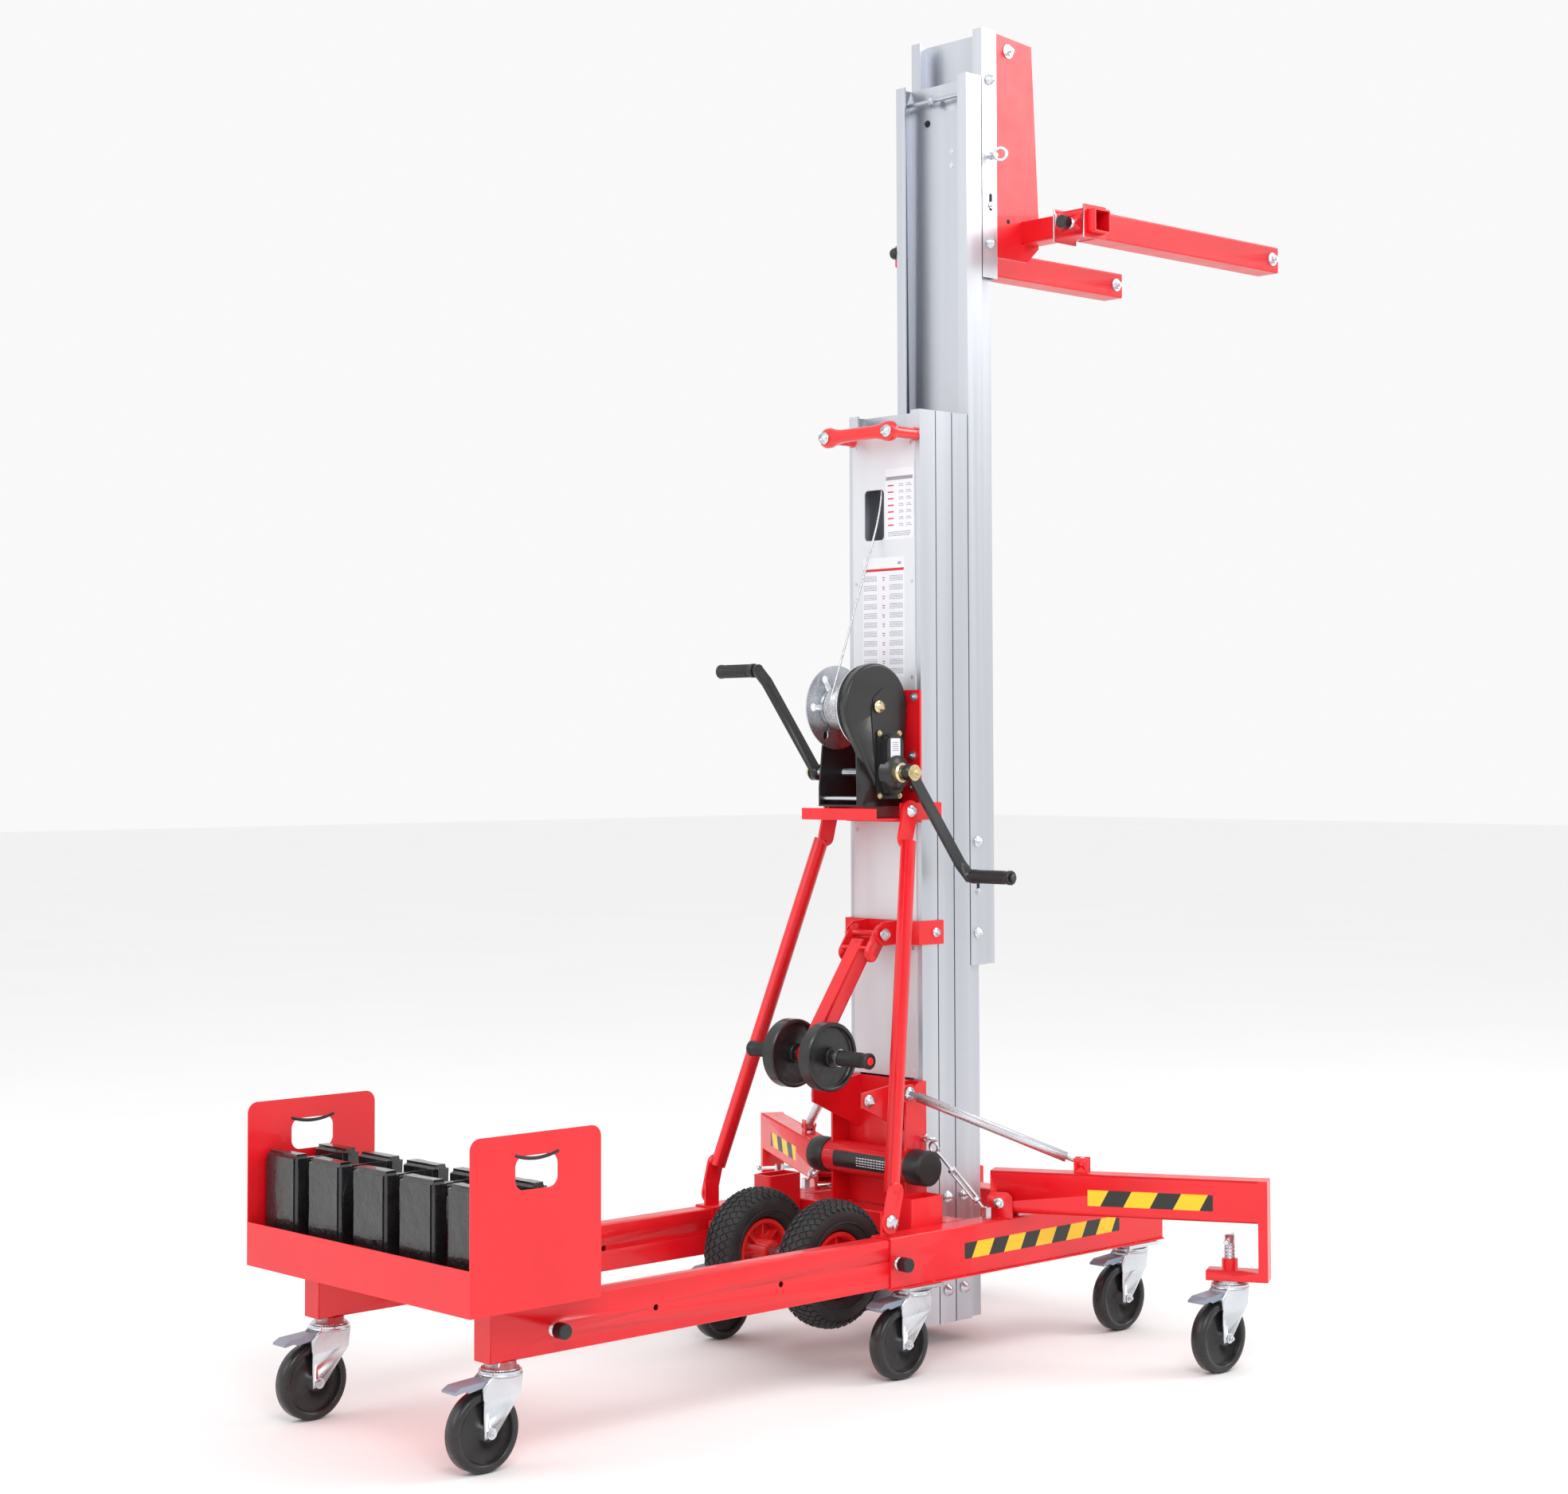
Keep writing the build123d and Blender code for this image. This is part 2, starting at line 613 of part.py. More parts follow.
# ---------------------------------------------------------------- side struts
strut_r = 17.0
strut_top = (ahead(-50), side_y + 13.0, 1186.0)
strut_foot = (ahead(-280), beam_centre_y + 5, beam_top + 28)
strut_ear = 6.0
with BuildPart() as left_strut:
    direction = Vector(*strut_foot) - Vector(*strut_top)
    unit = direction.normalized()
    near_top = Vector(*strut_top) + unit * 70
    near_foot = Vector(*strut_foot) - unit * 60
    add(rod(near_top, near_foot, strut_r))
    for tip, inner in ((Vector(*strut_top), near_top), (Vector(*strut_foot), near_foot)):
        lean = inner - tip
        flat = Plane(origin=tip, x_dir=(lean.X, 0, lean.Z), z_dir=(0, 1, 0))
        with BuildSketch(flat.offset(-3)):
            with Locations((30, 0)):
                SlotOverall(108, 44)
            Circle(6.5, mode=Mode.SUBTRACT)
        extrude(amount=6)
with BuildPart() as mast_struts:
    add(both_sides(left_strut.part))
save("mast_struts", mast_struts)

# ---------------------------------------------------------------- winch
winch_base = (1160.0, 1455.0)
band_z = (1166.0, 1204.0)
band_y = side_y + 0.6
with BuildPart() as winch_bracket:
    add(block((-9, -cover_plate - face_gap), (-band_y - 4, band_y + 4), winch_base))
    for side in (-1, 1):
        add(block((-70, 60), (side * band_y, side * (band_y + 4)), band_z))
    add(block((-150, -9), (-band_y - 4, band_y + 4), (band_z[0], band_z[0] + 4)))
    add(block((-150, -146), (-band_y - 4, band_y + 4), (band_z[0], band_z[0] + 26)))
    for side in (-1, 1):
        add(rod((strut_top[0], side * band_y, strut_top[2]), (strut_top[0], side * (strut_top[1] - 4), strut_top[2]), 14))
save("winch_bracket", winch_bracket)

cheek_right = -(drum_half_width + 8)
cheek_left = drum_half_width + 8
with BuildPart() as winch_housing:
    for y in (cheek_right, cheek_left):
        near, far = sorted((y, y + (4 if y > 0 else -4)))
        arm = 26 if y > 0 else 48
        add(plate([(-9, 1196), (-150, 1196), (-150, 1240), (drum_x - arm, drum_z - 20), (drum_x - arm + 12, drum_z + 26),
                   (drum_x + arm - 12, drum_z + 26), (drum_x + arm, drum_z - 20), (-9, 1330)], (near, far)))
    add(block((-150, -9), (cheek_right, cheek_left), (1196, 1200)))
    cover_face = cheek_right - 4
    with BuildSketch(Plane.XZ.offset(-cover_face)) as pear:
        with Locations((ahead(drum_x), drum_z)):
            Circle(96)
        with Locations((ahead(crank_x), crank_z)):
            Circle(49)
        make_hull()
    extrude(amount=20)
    fillet(winch_housing.faces().sort_by(Axis.Y)[0].edges(), 7)
    with Locations(Location((ahead(crank_x), -96, crank_z), (90, 0, 0))):
        Cylinder(38, 28)
    for y, z, r in ((0, drum_z, drum_axle_r + run_fit), (0, crank_z, crank_shaft_r + run_fit)):
        with Locations(Location((ahead(drum_x if z == drum_z else crank_x), y, z), (90, 0, 0))):
            Cylinder(r, 400, mode=Mode.SUBTRACT)
save("winch_housing", winch_housing)

with BuildPart() as winch_drum:
    with Locations(Location((ahead(drum_x), 0, drum_z), (90, 0, 0))):
        Cylinder(drum_r - 10, 2 * drum_half_width)
        Cylinder(drum_r, 2 * drum_half_width - 8)
        with Locations((0, 0, drum_half_width - 1.5), (0, 0, 1.5 - drum_half_width)):
            Cylinder(drum_flange_r, 3)
        with PolarLocations(drum_flange_r - 22, 6):
            Cylinder(9, 200, mode=Mode.SUBTRACT)
        Cylinder(drum_axle_r, 2 * (drum_half_width + 38))
    for side in (-1, 1):
        add(bolt((ahead(drum_x), side * (drum_half_width + 36), drum_z), (0, side, 0), 12))
save("winch_drum", winch_drum)

# crank: two arms half a turn apart on one shaft
forward_down = Vector(cos(radians(-58)), 0, sin(radians(-58)))
elbow_r = 240.0
elbow_y = 178.0
bar_width = 28.0
bar_thickness = 7.0


def flat_bar(start: Vector, end: Vector) -> list:
    """Flat steel bar between two points with its width square to Y, and round at its far end."""
    run = end - start
    width = Vector(0, 1, 0).cross(run).normalized()
    with BuildPart(Plane(origin=start, x_dir=width, z_dir=run)) as bar:
        Box(bar_width, bar_thickness, run.length, align=(Align.CENTER, Align.CENTER, Align.MIN))
    return [bar.part, rod((end - width * (bar_width / 2)), (end + width * (bar_width / 2)), bar_thickness / 2)]


with BuildPart() as crank:
    shaft_half = crank_hub_y + 10
    add(rod((ahead(crank_x), -shaft_half, crank_z), (ahead(crank_x), shaft_half, crank_z), crank_shaft_r))
    for side in (-1, 1):
        out = forward_down * (1 if side < 0 else -1)
        hub = Vector(ahead(crank_x), side * crank_hub_y, crank_z)
        elbow = Vector(ahead(crank_x), side * elbow_y, crank_z) + out * elbow_r
        tip = Vector(ahead(crank_x), side * crank_arm_y, crank_z) + out * crank_arm_r
        eye = Vector(0, side * 4, 0)
        add(rod((hub - eye * 3), (hub + eye), 18))
        add(flat_bar(hub, elbow))
        add(flat_bar(elbow, tip))
        add(rod((tip - eye), (tip + eye), bar_width / 2))
        spindle_end = tip + Vector(0, side * (grip_length + 12), 0)
        add(rod(tip, spindle_end, 6))
        with Locations(Location(spindle_end, (90, 0, 0))):
            Cylinder(9, 4)
save("crank", crank)
for side, name in ((1, "left"), (-1, "right")):
    out = forward_down * (1 if side < 0 else -1)
    tip = Vector(ahead(crank_x), side * (crank_arm_y + 9 + grip_length / 2), crank_z) + out * crank_arm_r
    with BuildPart() as grip:
        with Locations(Location(tip, (90, 0, 0))):
            Cylinder(grip_r, grip_length)
            fillet(grip.edges(), 4)
            Cylinder(6 + run_fit, grip_length, mode=Mode.SUBTRACT)
    save(f"crank_grip_{name}", grip)

# lift rope: drum, window, top sheave, down inside the fixed section
sheave_x = section_depth / 2
sheave_z = section_top - 40
rope_turn = sheave_r + rope_r + 0.5
window_pass_z = section_top - 206
drum_turn = drum_r + rope_r + 0.5
rope_lean = atan2(sheave_x - rope_turn - drum_x + drum_turn, window_pass_z - drum_z)
rope_points = [
    (ahead(drum_x - drum_turn * cos(rope_lean)), 20, drum_z + drum_turn * sin(rope_lean)),
    (ahead(sheave_x - rope_turn), 13, window_pass_z),
    (ahead(sheave_x - rope_turn), 13, sheave_z + rope_turn),
    (ahead(sheave_x + rope_turn), 13, sheave_z + rope_turn),
    (ahead(sheave_x + rope_turn), 13, section_top - 386),
]
rope_ease = min(400.0, 70.0 / tan(rope_lean / 2))  # the bend stays within the window's height
rope_bends = [rope_ease, rope_turn - 0.05, rope_turn - 0.05]
with BuildPart() as lift_rope:
    with BuildLine():
        rope_route = FilletPolyline(*rope_points, radius=rope_bends)
    with BuildSketch(Plane(origin=rope_route @ 0, z_dir=rope_route % 0)):
        Circle(rope_r)
    sweep()
print("rope bend radii", rope_bends, "length", round(rope_route.length, 1))
save("lift_rope", lift_rope)

# ---------------------------------------------------------------- loading arm
strap_z = (888.0, 941.0)
strap_y = side_y + 0.6
disc_y = 44.0
pivot_r = 8.0
with BuildPart() as arm_bracket:
    for side in (-1, 1):
        add(block((-14, 65), (side * strap_y, side * (strap_y + 4)), strap_z))
        near, far = sorted((side * disc_y, side * (disc_y + 5)))
        add(plate([(-10, strap_z[0]), (arm_pivot_x, arm_pivot_z - 26), (arm_pivot_x - 20, arm_pivot_z - 12),
                   (arm_pivot_x - 20, arm_pivot_z + 12), (arm_pivot_x, arm_pivot_z + 26), (-10, strap_z[1])], (near, far)))
    add(block((-14, -10), (-strap_y - 4, strap_y + 4), strap_z))
    with Locations(Location((ahead(arm_pivot_x), 0, arm_pivot_z), (90, 0, 0))):
        Cylinder(pivot_r + run_fit, 200, mode=Mode.SUBTRACT)
save("arm_bracket", arm_bracket)

arm_start = Vector(ahead(arm_pivot_x), 0, arm_pivot_z)
arm_end = Vector(ahead(arm_axle_x), 0, arm_axle_z)
arm_unit = (arm_end - arm_start).normalized()
with BuildPart() as loading_arm:
    shank = arm_end + arm_unit * -18
    add(box_tube((arm_start + arm_unit * 26), shank, 40, 40, 3, up=(0, 1, 0)))
    for side in (-1, 1):
        near, far = sorted((side * 38, side * 43))
        with BuildSketch(Plane(origin=(arm_start.X, near, arm_start.Z), x_dir=arm_unit, z_dir=(0, 1, 0))):
            with Locations((24, 0)):
                SlotOverall(92, 40)
        extrude(amount=5)
    with BuildSketch(Plane(origin=arm_start + arm_unit * 44, x_dir=(0, 1, 0), z_dir=arm_unit)):
        Rectangle(80, 40)
    extrude(amount=6)
    with Locations(Location(arm_start, (90, 0, 0))):
        Cylinder(pivot_r, 2 * (disc_y + 12))
    with Locations(Location(arm_end, (90, 0, 0))):
        Cylinder(9, 372)
        Cylinder(22, 40)
        for offset in (-141, 141):
            with Locations((0, 0, offset)):
                Cylinder(15, 90)
save("loading_arm", loading_arm)

with BuildPart() as loading_rollers:
    for side in (-1, 1):
        with Locations(Location(arm_end + Vector(0, side * (roller_y - 8), 0), (90, 0, 0))):
            Cylinder(roller_r, roller_width)
            Cylinder(22, roller_width + 6)
            Cylinder(9 + run_fit, roller_width + 20, mode=Mode.SUBTRACT)
save("loading_rollers", loading_rollers)

# ---------------------------------------------------------------- fork bracket, crossbar and forks
plate_y = 90.0
crossbar_z = fork_bottom + fork_tube / 2
gusset_front = crossbar_x + crossbar_tube / 2 + 5
with BuildPart() as fork_bracket:
    add(block((carriage_front, carriage_front + 6), (-96, 96), (carriage_bottom + 53, carriage_top + 1)))
    for side in (-1, 1):
        near, far = sorted((side * plate_y, side * (plate_y + 6)))
        low = carriage_bottom + 55
        add(plate([(carriage_front + 6, low), (gusset_front - 40, low), (gusset_front, fork_bottom),
                   (gusset_front, fork_bottom + 76), (gusset_front - 22, carriage_top - 11),
                   (carriage_front + 6, carriage_top + 1)], (near, far)))
    with Locations((ahead(crossbar_x), 0, crossbar_z)):
        Box(crossbar_tube + 0.4, 400, crossbar_tube + 0.4, mode=Mode.SUBTRACT)
save("fork_bracket", fork_bracket)

with BuildPart() as crossbar:
    add(box_tube((ahead(crossbar_x), -crossbar_width / 2, crossbar_z), (ahead(crossbar_x), crossbar_width / 2, crossbar_z),
                 crossbar_tube, crossbar_tube, 4))
save("fork_crossbar", crossbar)

sleeve_wall = 4.0
sleeve_size = crossbar_tube + 2 * (slide_gap + sleeve_wall)
fork_start = crossbar_x + sleeve_size / 2
for side, name in ((1, "left"), (-1, "right")):
    with BuildPart() as fork:
        y = side * fork_y
        add(box_tube((ahead(crossbar_x), y - sleeve_length / 2, crossbar_z), (ahead(crossbar_x), y + sleeve_length / 2, crossbar_z),
                     sleeve_size, sleeve_size, sleeve_wall))
        for end in (-1, 1):
            with Locations((ahead(crossbar_x), y + end * sleeve_length / 2, crossbar_z)):
                Box(sleeve_size + 14, 4, sleeve_size + 14)
        with Locations((ahead(crossbar_x), y, crossbar_z)):
            Box(crossbar_tube + 2 * slide_gap, sleeve_length + 20, crossbar_tube + 2 * slide_gap, mode=Mode.SUBTRACT)
        add(box_tube((ahead(fork_start), y, crossbar_z), (ahead(fork_reach), y, crossbar_z), fork_tube, fork_tube, 3.2))
        add(plunger((ahead(crossbar_x - sleeve_size / 2), y, crossbar_z), (-1, 0, 0)))
    save(f"fork_{name}", fork)

# ---------------------------------------------------------------- outriggers
hinge = Vector(-reach.Y, reach.X, 0)
up = Vector(0, 0, 1)
tube_w, tube_h = outrigger_tube
tube_centre = tube_h / 2 - 21
pivot_bolt_r = 6.0
clevis_at = outrigger_pivot + reach * 178 + up * (tube_centre + tube_h / 2 + 19)
clevis_pin_r = 5.0
foot_bottom = 190.0


def along_hinge(point: Vector, half_length: float, radius: float, bore: float = 0.0) -> Part:
    """Cylinder centred on a point, parallel to the outrigger's hinge."""
    return rod((point - hinge * half_length), (point + hinge * half_length), radius, bore)


def leaf(offset: float, thickness: float, points: list) -> Part:
    """Plate square to the hinge, offset along it; points are (distance along the arm, height)."""
    base = Plane(origin=outrigger_pivot + hinge * offset, x_dir=reach, z_dir=reach.cross(up))
    with BuildPart() as sheet:
        with BuildSketch(base):
            with BuildLine():
                Polyline(*points, close=True)
            make_face()
        extrude(amount=-thickness)
    return sheet.part


with BuildPart() as left_outrigger:
    tube_from = outrigger_pivot + reach * -20 + up * tube_centre
    tube_to = outrigger_pivot + reach * outrigger_length + up * tube_centre
    add(box_tube(tube_from, tube_to, tube_w, tube_h, outrigger_wall))
    add(along_hinge(outrigger_pivot, tube_w / 2, pivot_bolt_r + 3))
    add(along_hinge(outrigger_pivot, tube_w / 2, pivot_bolt_r + run_fit), mode=Mode.SUBTRACT)
    post_top = tube_centre + tube_h / 2
    foot_low = foot_bottom - root_z
    post = [(outrigger_length, post_top), (outrigger_length, foot_low + foot_thickness),
            (outrigger_length - 112, foot_low + foot_thickness), (outrigger_length - 112, foot_low),
            (outrigger_length + foot_thickness, foot_low), (outrigger_length + foot_thickness, post_top)]
    add(leaf(-tube_w / 2, tube_w, post))
    foot_top = Vector(screw_point.X, screw_point.Y, foot_bottom + foot_thickness)
    add(rod(foot_top, (foot_top + up * 24), screw_r + 6))
    add(rod((foot_top - up * 40), (foot_top + up * 40), screw_r + run_fit), mode=Mode.SUBTRACT)
    clevis_low = tube_centre + tube_h / 2
    for offset in (-13, 8):
        add(leaf(offset, 5, [(162, clevis_low), (194, clevis_low), (194, clevis_low + 32), (162, clevis_low + 32)]))
    add(along_hinge(clevis_at, 18, clevis_pin_r))
outrigger_parts = both_sides(left_outrigger.part)

eye_half = 7.0
with BuildPart() as left_stay:
    stay_end = Vector(ahead(stay_x), wing_y + 5 + face_gap + 3, stay_z)
    stay_dir = (stay_end - clevis_at).normalized()
    add(rod(clevis_at + stay_dir * 11, clevis_at + stay_dir * 42, 4.5))
    add(rod(clevis_at + stay_dir * 36, stay_end - stay_dir * 20, stay_r))
    add(along_hinge(clevis_at, eye_half, 13))
    add(rod((stay_end - stay_dir * 26), stay_end, 7))
    with Locations(Location(stay_end, (90, 0, 0))):
        Cylinder(14, 6)
    add(along_hinge(clevis_at, 20, clevis_pin_r + run_fit), mode=Mode.SUBTRACT)
    with Locations((ahead(stay_x), wing_y + 5 + face_gap - 20, stay_z)):
        Box(120, 40, 120, mode=Mode.SUBTRACT)
stay_parts = both_sides(left_stay.part)

with BuildPart() as left_jack:
    disc_top = foot_bottom - face_gap
    race_low = caster_crown_z + 10 + face_gap
    add(rod((screw_point.X, screw_point.Y, race_low), (screw_point.X, screw_point.Y, 284), screw_r))
    add(rod((screw_point.X, screw_point.Y, race_low), (screw_point.X, screw_point.Y, disc_top), 34))
    with Locations((screw_point.X, screw_point.Y, 0)):
        add(caster_mount(race_low + 5, stem=True))
    bar_mid = Vector(screw_point.X, screw_point.Y, 276)
    add(along_hinge(bar_mid, 52, 4))
jack_parts = both_sides(left_jack.part)
for index, name in enumerate(("left", "right")):
    for label, pair in (("outrigger", outrigger_parts), ("stay_rod", stay_parts), ("jack_screw", jack_parts)):
        with BuildPart() as piece:
            add(pair[index])
        save(f"{label}_{name}", piece)

with BuildPart() as left_bracket:
    for offset in (-tube_w / 2 - 0.5 - 6, tube_w / 2 + 0.5):
        floor = beam_top - root_z
        add(leaf(offset, 6, [(-26, floor), (30, floor), (30, 14), (20, 24), (-16, 24), (-26, 14)]))
    add(along_hinge(outrigger_pivot, tube_w / 2 + 10, pivot_bolt_r))
    for end in (-1, 1):
        nut = outrigger_pivot + hinge * (end * (tube_w / 2 + 6.5))
        add(bolt(nut, (hinge * end), 10))
    # square socket welded inside the side beam, behind the outrigger
    add(box_tube((ahead(side_socket_x), beam_inner_y - 28.2, beam_bottom + 40),
                 (ahead(side_socket_x), beam_inner_y - 28.2, beam_top + 60), 96, 56, 4, up=(0, 1, 0)))
with BuildPart() as outrigger_brackets:
    add(both_sides(left_bracket.part))
save("outrigger_brackets", outrigger_brackets)

# adjustable tie between socket and side beam
tie_top = Vector(ahead(-2), wing_y + 3, 463)
tie_foot = Vector(ahead(18), beam_centre_y + 5, beam_top + 16)
tie_dir = (tie_foot - tie_top).normalized()
tie_length = (tie_foot - tie_top).length
with BuildPart() as left_tie:
    add(rod((tie_top - Vector(0, 3, 0)), (tie_top + Vector(0, 2, 0)), 8))
    add(rod(tie_top, tie_foot, 4))
    add(rod((tie_top + tie_dir * (tie_length * 0.4)), (tie_top + tie_dir * (tie_length * 0.82)), 8))
    add(block((10, 26), (beam_centre_y - 2, beam_centre_y + 12), (beam_top, beam_top + 26)))
with BuildPart() as turnbuckles:
    add(both_sides(left_tie.part))
save("turnbuckles", turnbuckles)

# ---------------------------------------------------------------- fasteners on the frame
with BuildPart() as frame_fasteners:
    for side in (-1, 1):
        add(bolt((strut_top[0], side * (strut_top[1] + 3), strut_top[2]), (0, side, 0), 11))
        add(bolt((strut_foot[0], side * (strut_foot[1] + 3), strut_foot[2]), (0, side, 0), 13))
        add(block((-300, -260), (side * (strut_foot[1] - 9), side * (strut_foot[1] - 3.3)), (beam_top, beam_top + 52)))
        add(plunger((ahead(lock_x), side * beam_outer_y, slide_mid), (0, side, 0)))
        add(bolt((ahead(ear_bolt_x), side * 81, ear_bolt_z), (0, side, 0), 12))
        add(bolt((ahead(40), side * (strap_y + 4), sum(strap_z) / 2), (0, side, 0), 9))
        add(bolt((ahead(handle_x - handle_face), side * handle_bolt_y, handle_z), (-1, 0, 0), 12))
save("frame_fasteners", frame_fasteners)
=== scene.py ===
"""Counterbalanced material lift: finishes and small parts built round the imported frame.

Lengths are metres in the frame's axes: X forwards, Y to the left, Z up.  Places on the machine are
given in millimetres from the rear face of the fixed mast section, and turned to metres by at().
"""
import json
import logging
import math
from collections.abc import Callable, Sequence
from dataclasses import dataclass
from enum import Enum
from typing import NamedTuple

import bmesh
import bpy
from mathutils import Matrix, Vector, noise


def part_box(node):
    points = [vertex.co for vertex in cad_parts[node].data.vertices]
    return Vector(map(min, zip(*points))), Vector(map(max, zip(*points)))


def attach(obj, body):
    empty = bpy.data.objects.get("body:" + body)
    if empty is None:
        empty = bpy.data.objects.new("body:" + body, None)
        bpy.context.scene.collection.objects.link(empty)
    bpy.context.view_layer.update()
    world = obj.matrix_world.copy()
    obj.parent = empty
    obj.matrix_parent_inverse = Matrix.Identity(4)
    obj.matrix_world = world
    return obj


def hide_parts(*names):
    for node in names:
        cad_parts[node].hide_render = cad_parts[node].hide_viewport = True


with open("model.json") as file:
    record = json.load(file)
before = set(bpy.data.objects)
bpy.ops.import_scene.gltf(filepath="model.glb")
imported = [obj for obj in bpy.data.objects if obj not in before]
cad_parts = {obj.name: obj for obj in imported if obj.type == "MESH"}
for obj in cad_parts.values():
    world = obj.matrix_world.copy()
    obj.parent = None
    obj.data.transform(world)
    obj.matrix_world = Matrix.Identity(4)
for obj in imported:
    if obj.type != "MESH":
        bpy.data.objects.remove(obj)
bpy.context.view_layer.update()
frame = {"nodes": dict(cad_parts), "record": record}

MM = 0.001
FORWARD, LEFT, UP = Vector((1, 0, 0)), Vector((0, 1, 0)), Vector((0, 0, 1))
BACK, RIGHT = Vector((-1, 0, 0)), Vector((0, -1, 0))
MAST_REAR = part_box("mast_section_1")[0].x
SIDES = {"left": 1, "right": -1}
BODY_OF = {node: body for body, nodes in frame["record"]["behaviour"]["bodies"].items() for node in nodes}
log = logging.getLogger("lift")


def at(x: float, y: float, z: float) -> Vector:
    """Point in metres for a place in millimetres measured from the fixed mast section."""
    return Vector((MAST_REAR + x * MM, y * MM, z * MM))


def add_node(tree: bpy.types.NodeTree, kind: str, feeds: dict | None = None, **settings) -> bpy.types.Node:
    """Adds a node to a shading or geometry tree.

    Args:
        tree: Tree that gets the node.
        kind: Blender's type name of the node.
        feeds: Value or linked socket for each input, by name or index.
        settings: Properties of the node itself.

    Returns:
        The new node.
    """
    made = tree.nodes.new(kind)
    for key, value in settings.items():
        setattr(made, key, value)
    for key, value in (feeds or {}).items():
        if isinstance(value, bpy.types.NodeSocket):
            tree.links.new(value, made.inputs[key])
        else:
            made.inputs[key].default_value = value
    return made


# ---------------------------------------------------------------- finishes
class Relief(Enum):
    """Fine surface relief of a finish."""

    PEEL = "powder coat"
    DRAWN = "drawn lines"
    SPANGLE = "zinc crystals"
    GRAIN = "moulded grain"
    CAST = "sand casting"


@dataclass(frozen=True)
class Finish:
    """A procedural finish that reads object coordinates.

    Attributes:
        name: Name of the material.
        colour: Main colour, linear RGB.
        shade: Second colour that mottles the first.
        relief: Kind of fine relief.
        slot: Material slot of the record that the finish stands for; not used.
        roughness: Least and greatest roughness.
        metallic: Metal share.
        grain: Features per metre of the relief.
        depth: Depth of the relief in metres.
        mottle: Features per metre of the colour mottling.
        stretch: Scale of the pattern along X, Y and Z.
        coat: Weight of the clear coat.
    """

    name: str
    colour: tuple[float, float, float]
    shade: tuple[float, float, float]
    relief: Relief
    slot: str
    roughness: tuple[float, float] = (0.28, 0.42)
    metallic: float = 0.0
    grain: float = 700.0
    depth: float = 0.00004
    mottle: float = 9.0
    stretch: tuple[float, float, float] = (1.0, 1.0, 1.0)
    coat: float = 0.0

    def material(self) -> bpy.types.Material:
        """The material of the finish, made on first use."""
        known = bpy.data.materials.get(self.name)
        if known is not None:
            return known
        made = bpy.data.materials.new(self.name)
        made.use_nodes = True
        tree = made.node_tree
        tree.nodes.clear()
        shader = add_node(tree, "ShaderNodeBsdfPrincipled",
                          {"Metallic": self.metallic, "Coat Weight": self.coat})
        output = add_node(tree, "ShaderNodeOutputMaterial")
        tree.links.new(shader.outputs["BSDF"], output.inputs["Surface"])
        place = add_node(tree, "ShaderNodeTexCoord").outputs["Object"]
        stretched = add_node(tree, "ShaderNodeMapping", {"Vector": place, "Scale": self.stretch})
        pattern = stretched.outputs["Vector"]
        tree.links.new(self.colouring(tree, place, pattern), shader.inputs["Base Color"])
        tree.links.new(self.sheen(tree, pattern), shader.inputs["Roughness"])
        height = self.height(tree, pattern)
        bump = add_node(tree, "ShaderNodeBump", {"Height": height, "Distance": self.depth, "Strength": 0.9})
        tree.links.new(bump.outputs["Normal"], shader.inputs["Normal"])
        return made

    def colouring(self, tree: bpy.types.NodeTree, place: bpy.types.NodeSocket,
                  pattern: bpy.types.NodeSocket) -> bpy.types.NodeSocket:
        """Colour socket: the second colour mottled into the main one."""
        cloud = add_node(tree, "ShaderNodeTexNoise", {"Vector": pattern, "Scale": self.mottle, "Detail": 5.0})
        ramp = add_node(tree, "ShaderNodeValToRGB", {"Fac": cloud.outputs["Fac"]})
        ramp.color_ramp.elements[0].position = 0.34
        ramp.color_ramp.elements[0].color = (*self.shade, 1.0)
        ramp.color_ramp.elements[1].position = 0.62
        ramp.color_ramp.elements[1].color = (*self.colour, 1.0)
        return ramp.outputs["Color"]

    def sheen(self, tree: bpy.types.NodeTree, pattern: bpy.types.NodeSocket) -> bpy.types.NodeSocket:
        """Roughness socket that wanders between the two limits."""
        low, high = self.roughness
        smear = add_node(tree, "ShaderNodeTexNoise",
                         {"Vector": pattern, "Scale": self.mottle * 4, "Detail": 6.0})
        spread = add_node(tree, "ShaderNodeMapRange", {
            "Value": smear.outputs["Fac"], "From Min": 0.3, "From Max": 0.7, "To Min": low, "To Max": high})
        return spread.outputs["Result"]

    def height(self, tree: bpy.types.NodeTree, pattern: bpy.types.NodeSocket) -> bpy.types.NodeSocket:
        """Height socket of the fine relief."""
        if self.relief is Relief.SPANGLE:
            cells = add_node(tree, "ShaderNodeTexVoronoi", {"Vector": pattern, "Scale": self.grain})
            return cells.outputs["Distance"]
        detail = {Relief.PEEL: 1.5, Relief.DRAWN: 3.0, Relief.GRAIN: 6.0, Relief.CAST: 9.0}[self.relief]
        fine = add_node(tree, "ShaderNodeTexNoise",
                        {"Vector": pattern, "Scale": self.grain, "Detail": detail})
        if self.relief is not Relief.CAST:
            return fine.outputs["Fac"]
        lumps = add_node(tree, "ShaderNodeTexVoronoi", {"Vector": pattern, "Scale": self.grain * 0.4},
                         feature="SMOOTH_F1")
        both = add_node(tree, "ShaderNodeMath", {0: fine.outputs["Fac"], 1: lumps.outputs["Distance"]},
                        operation="ADD")
        return both.outputs["Value"]


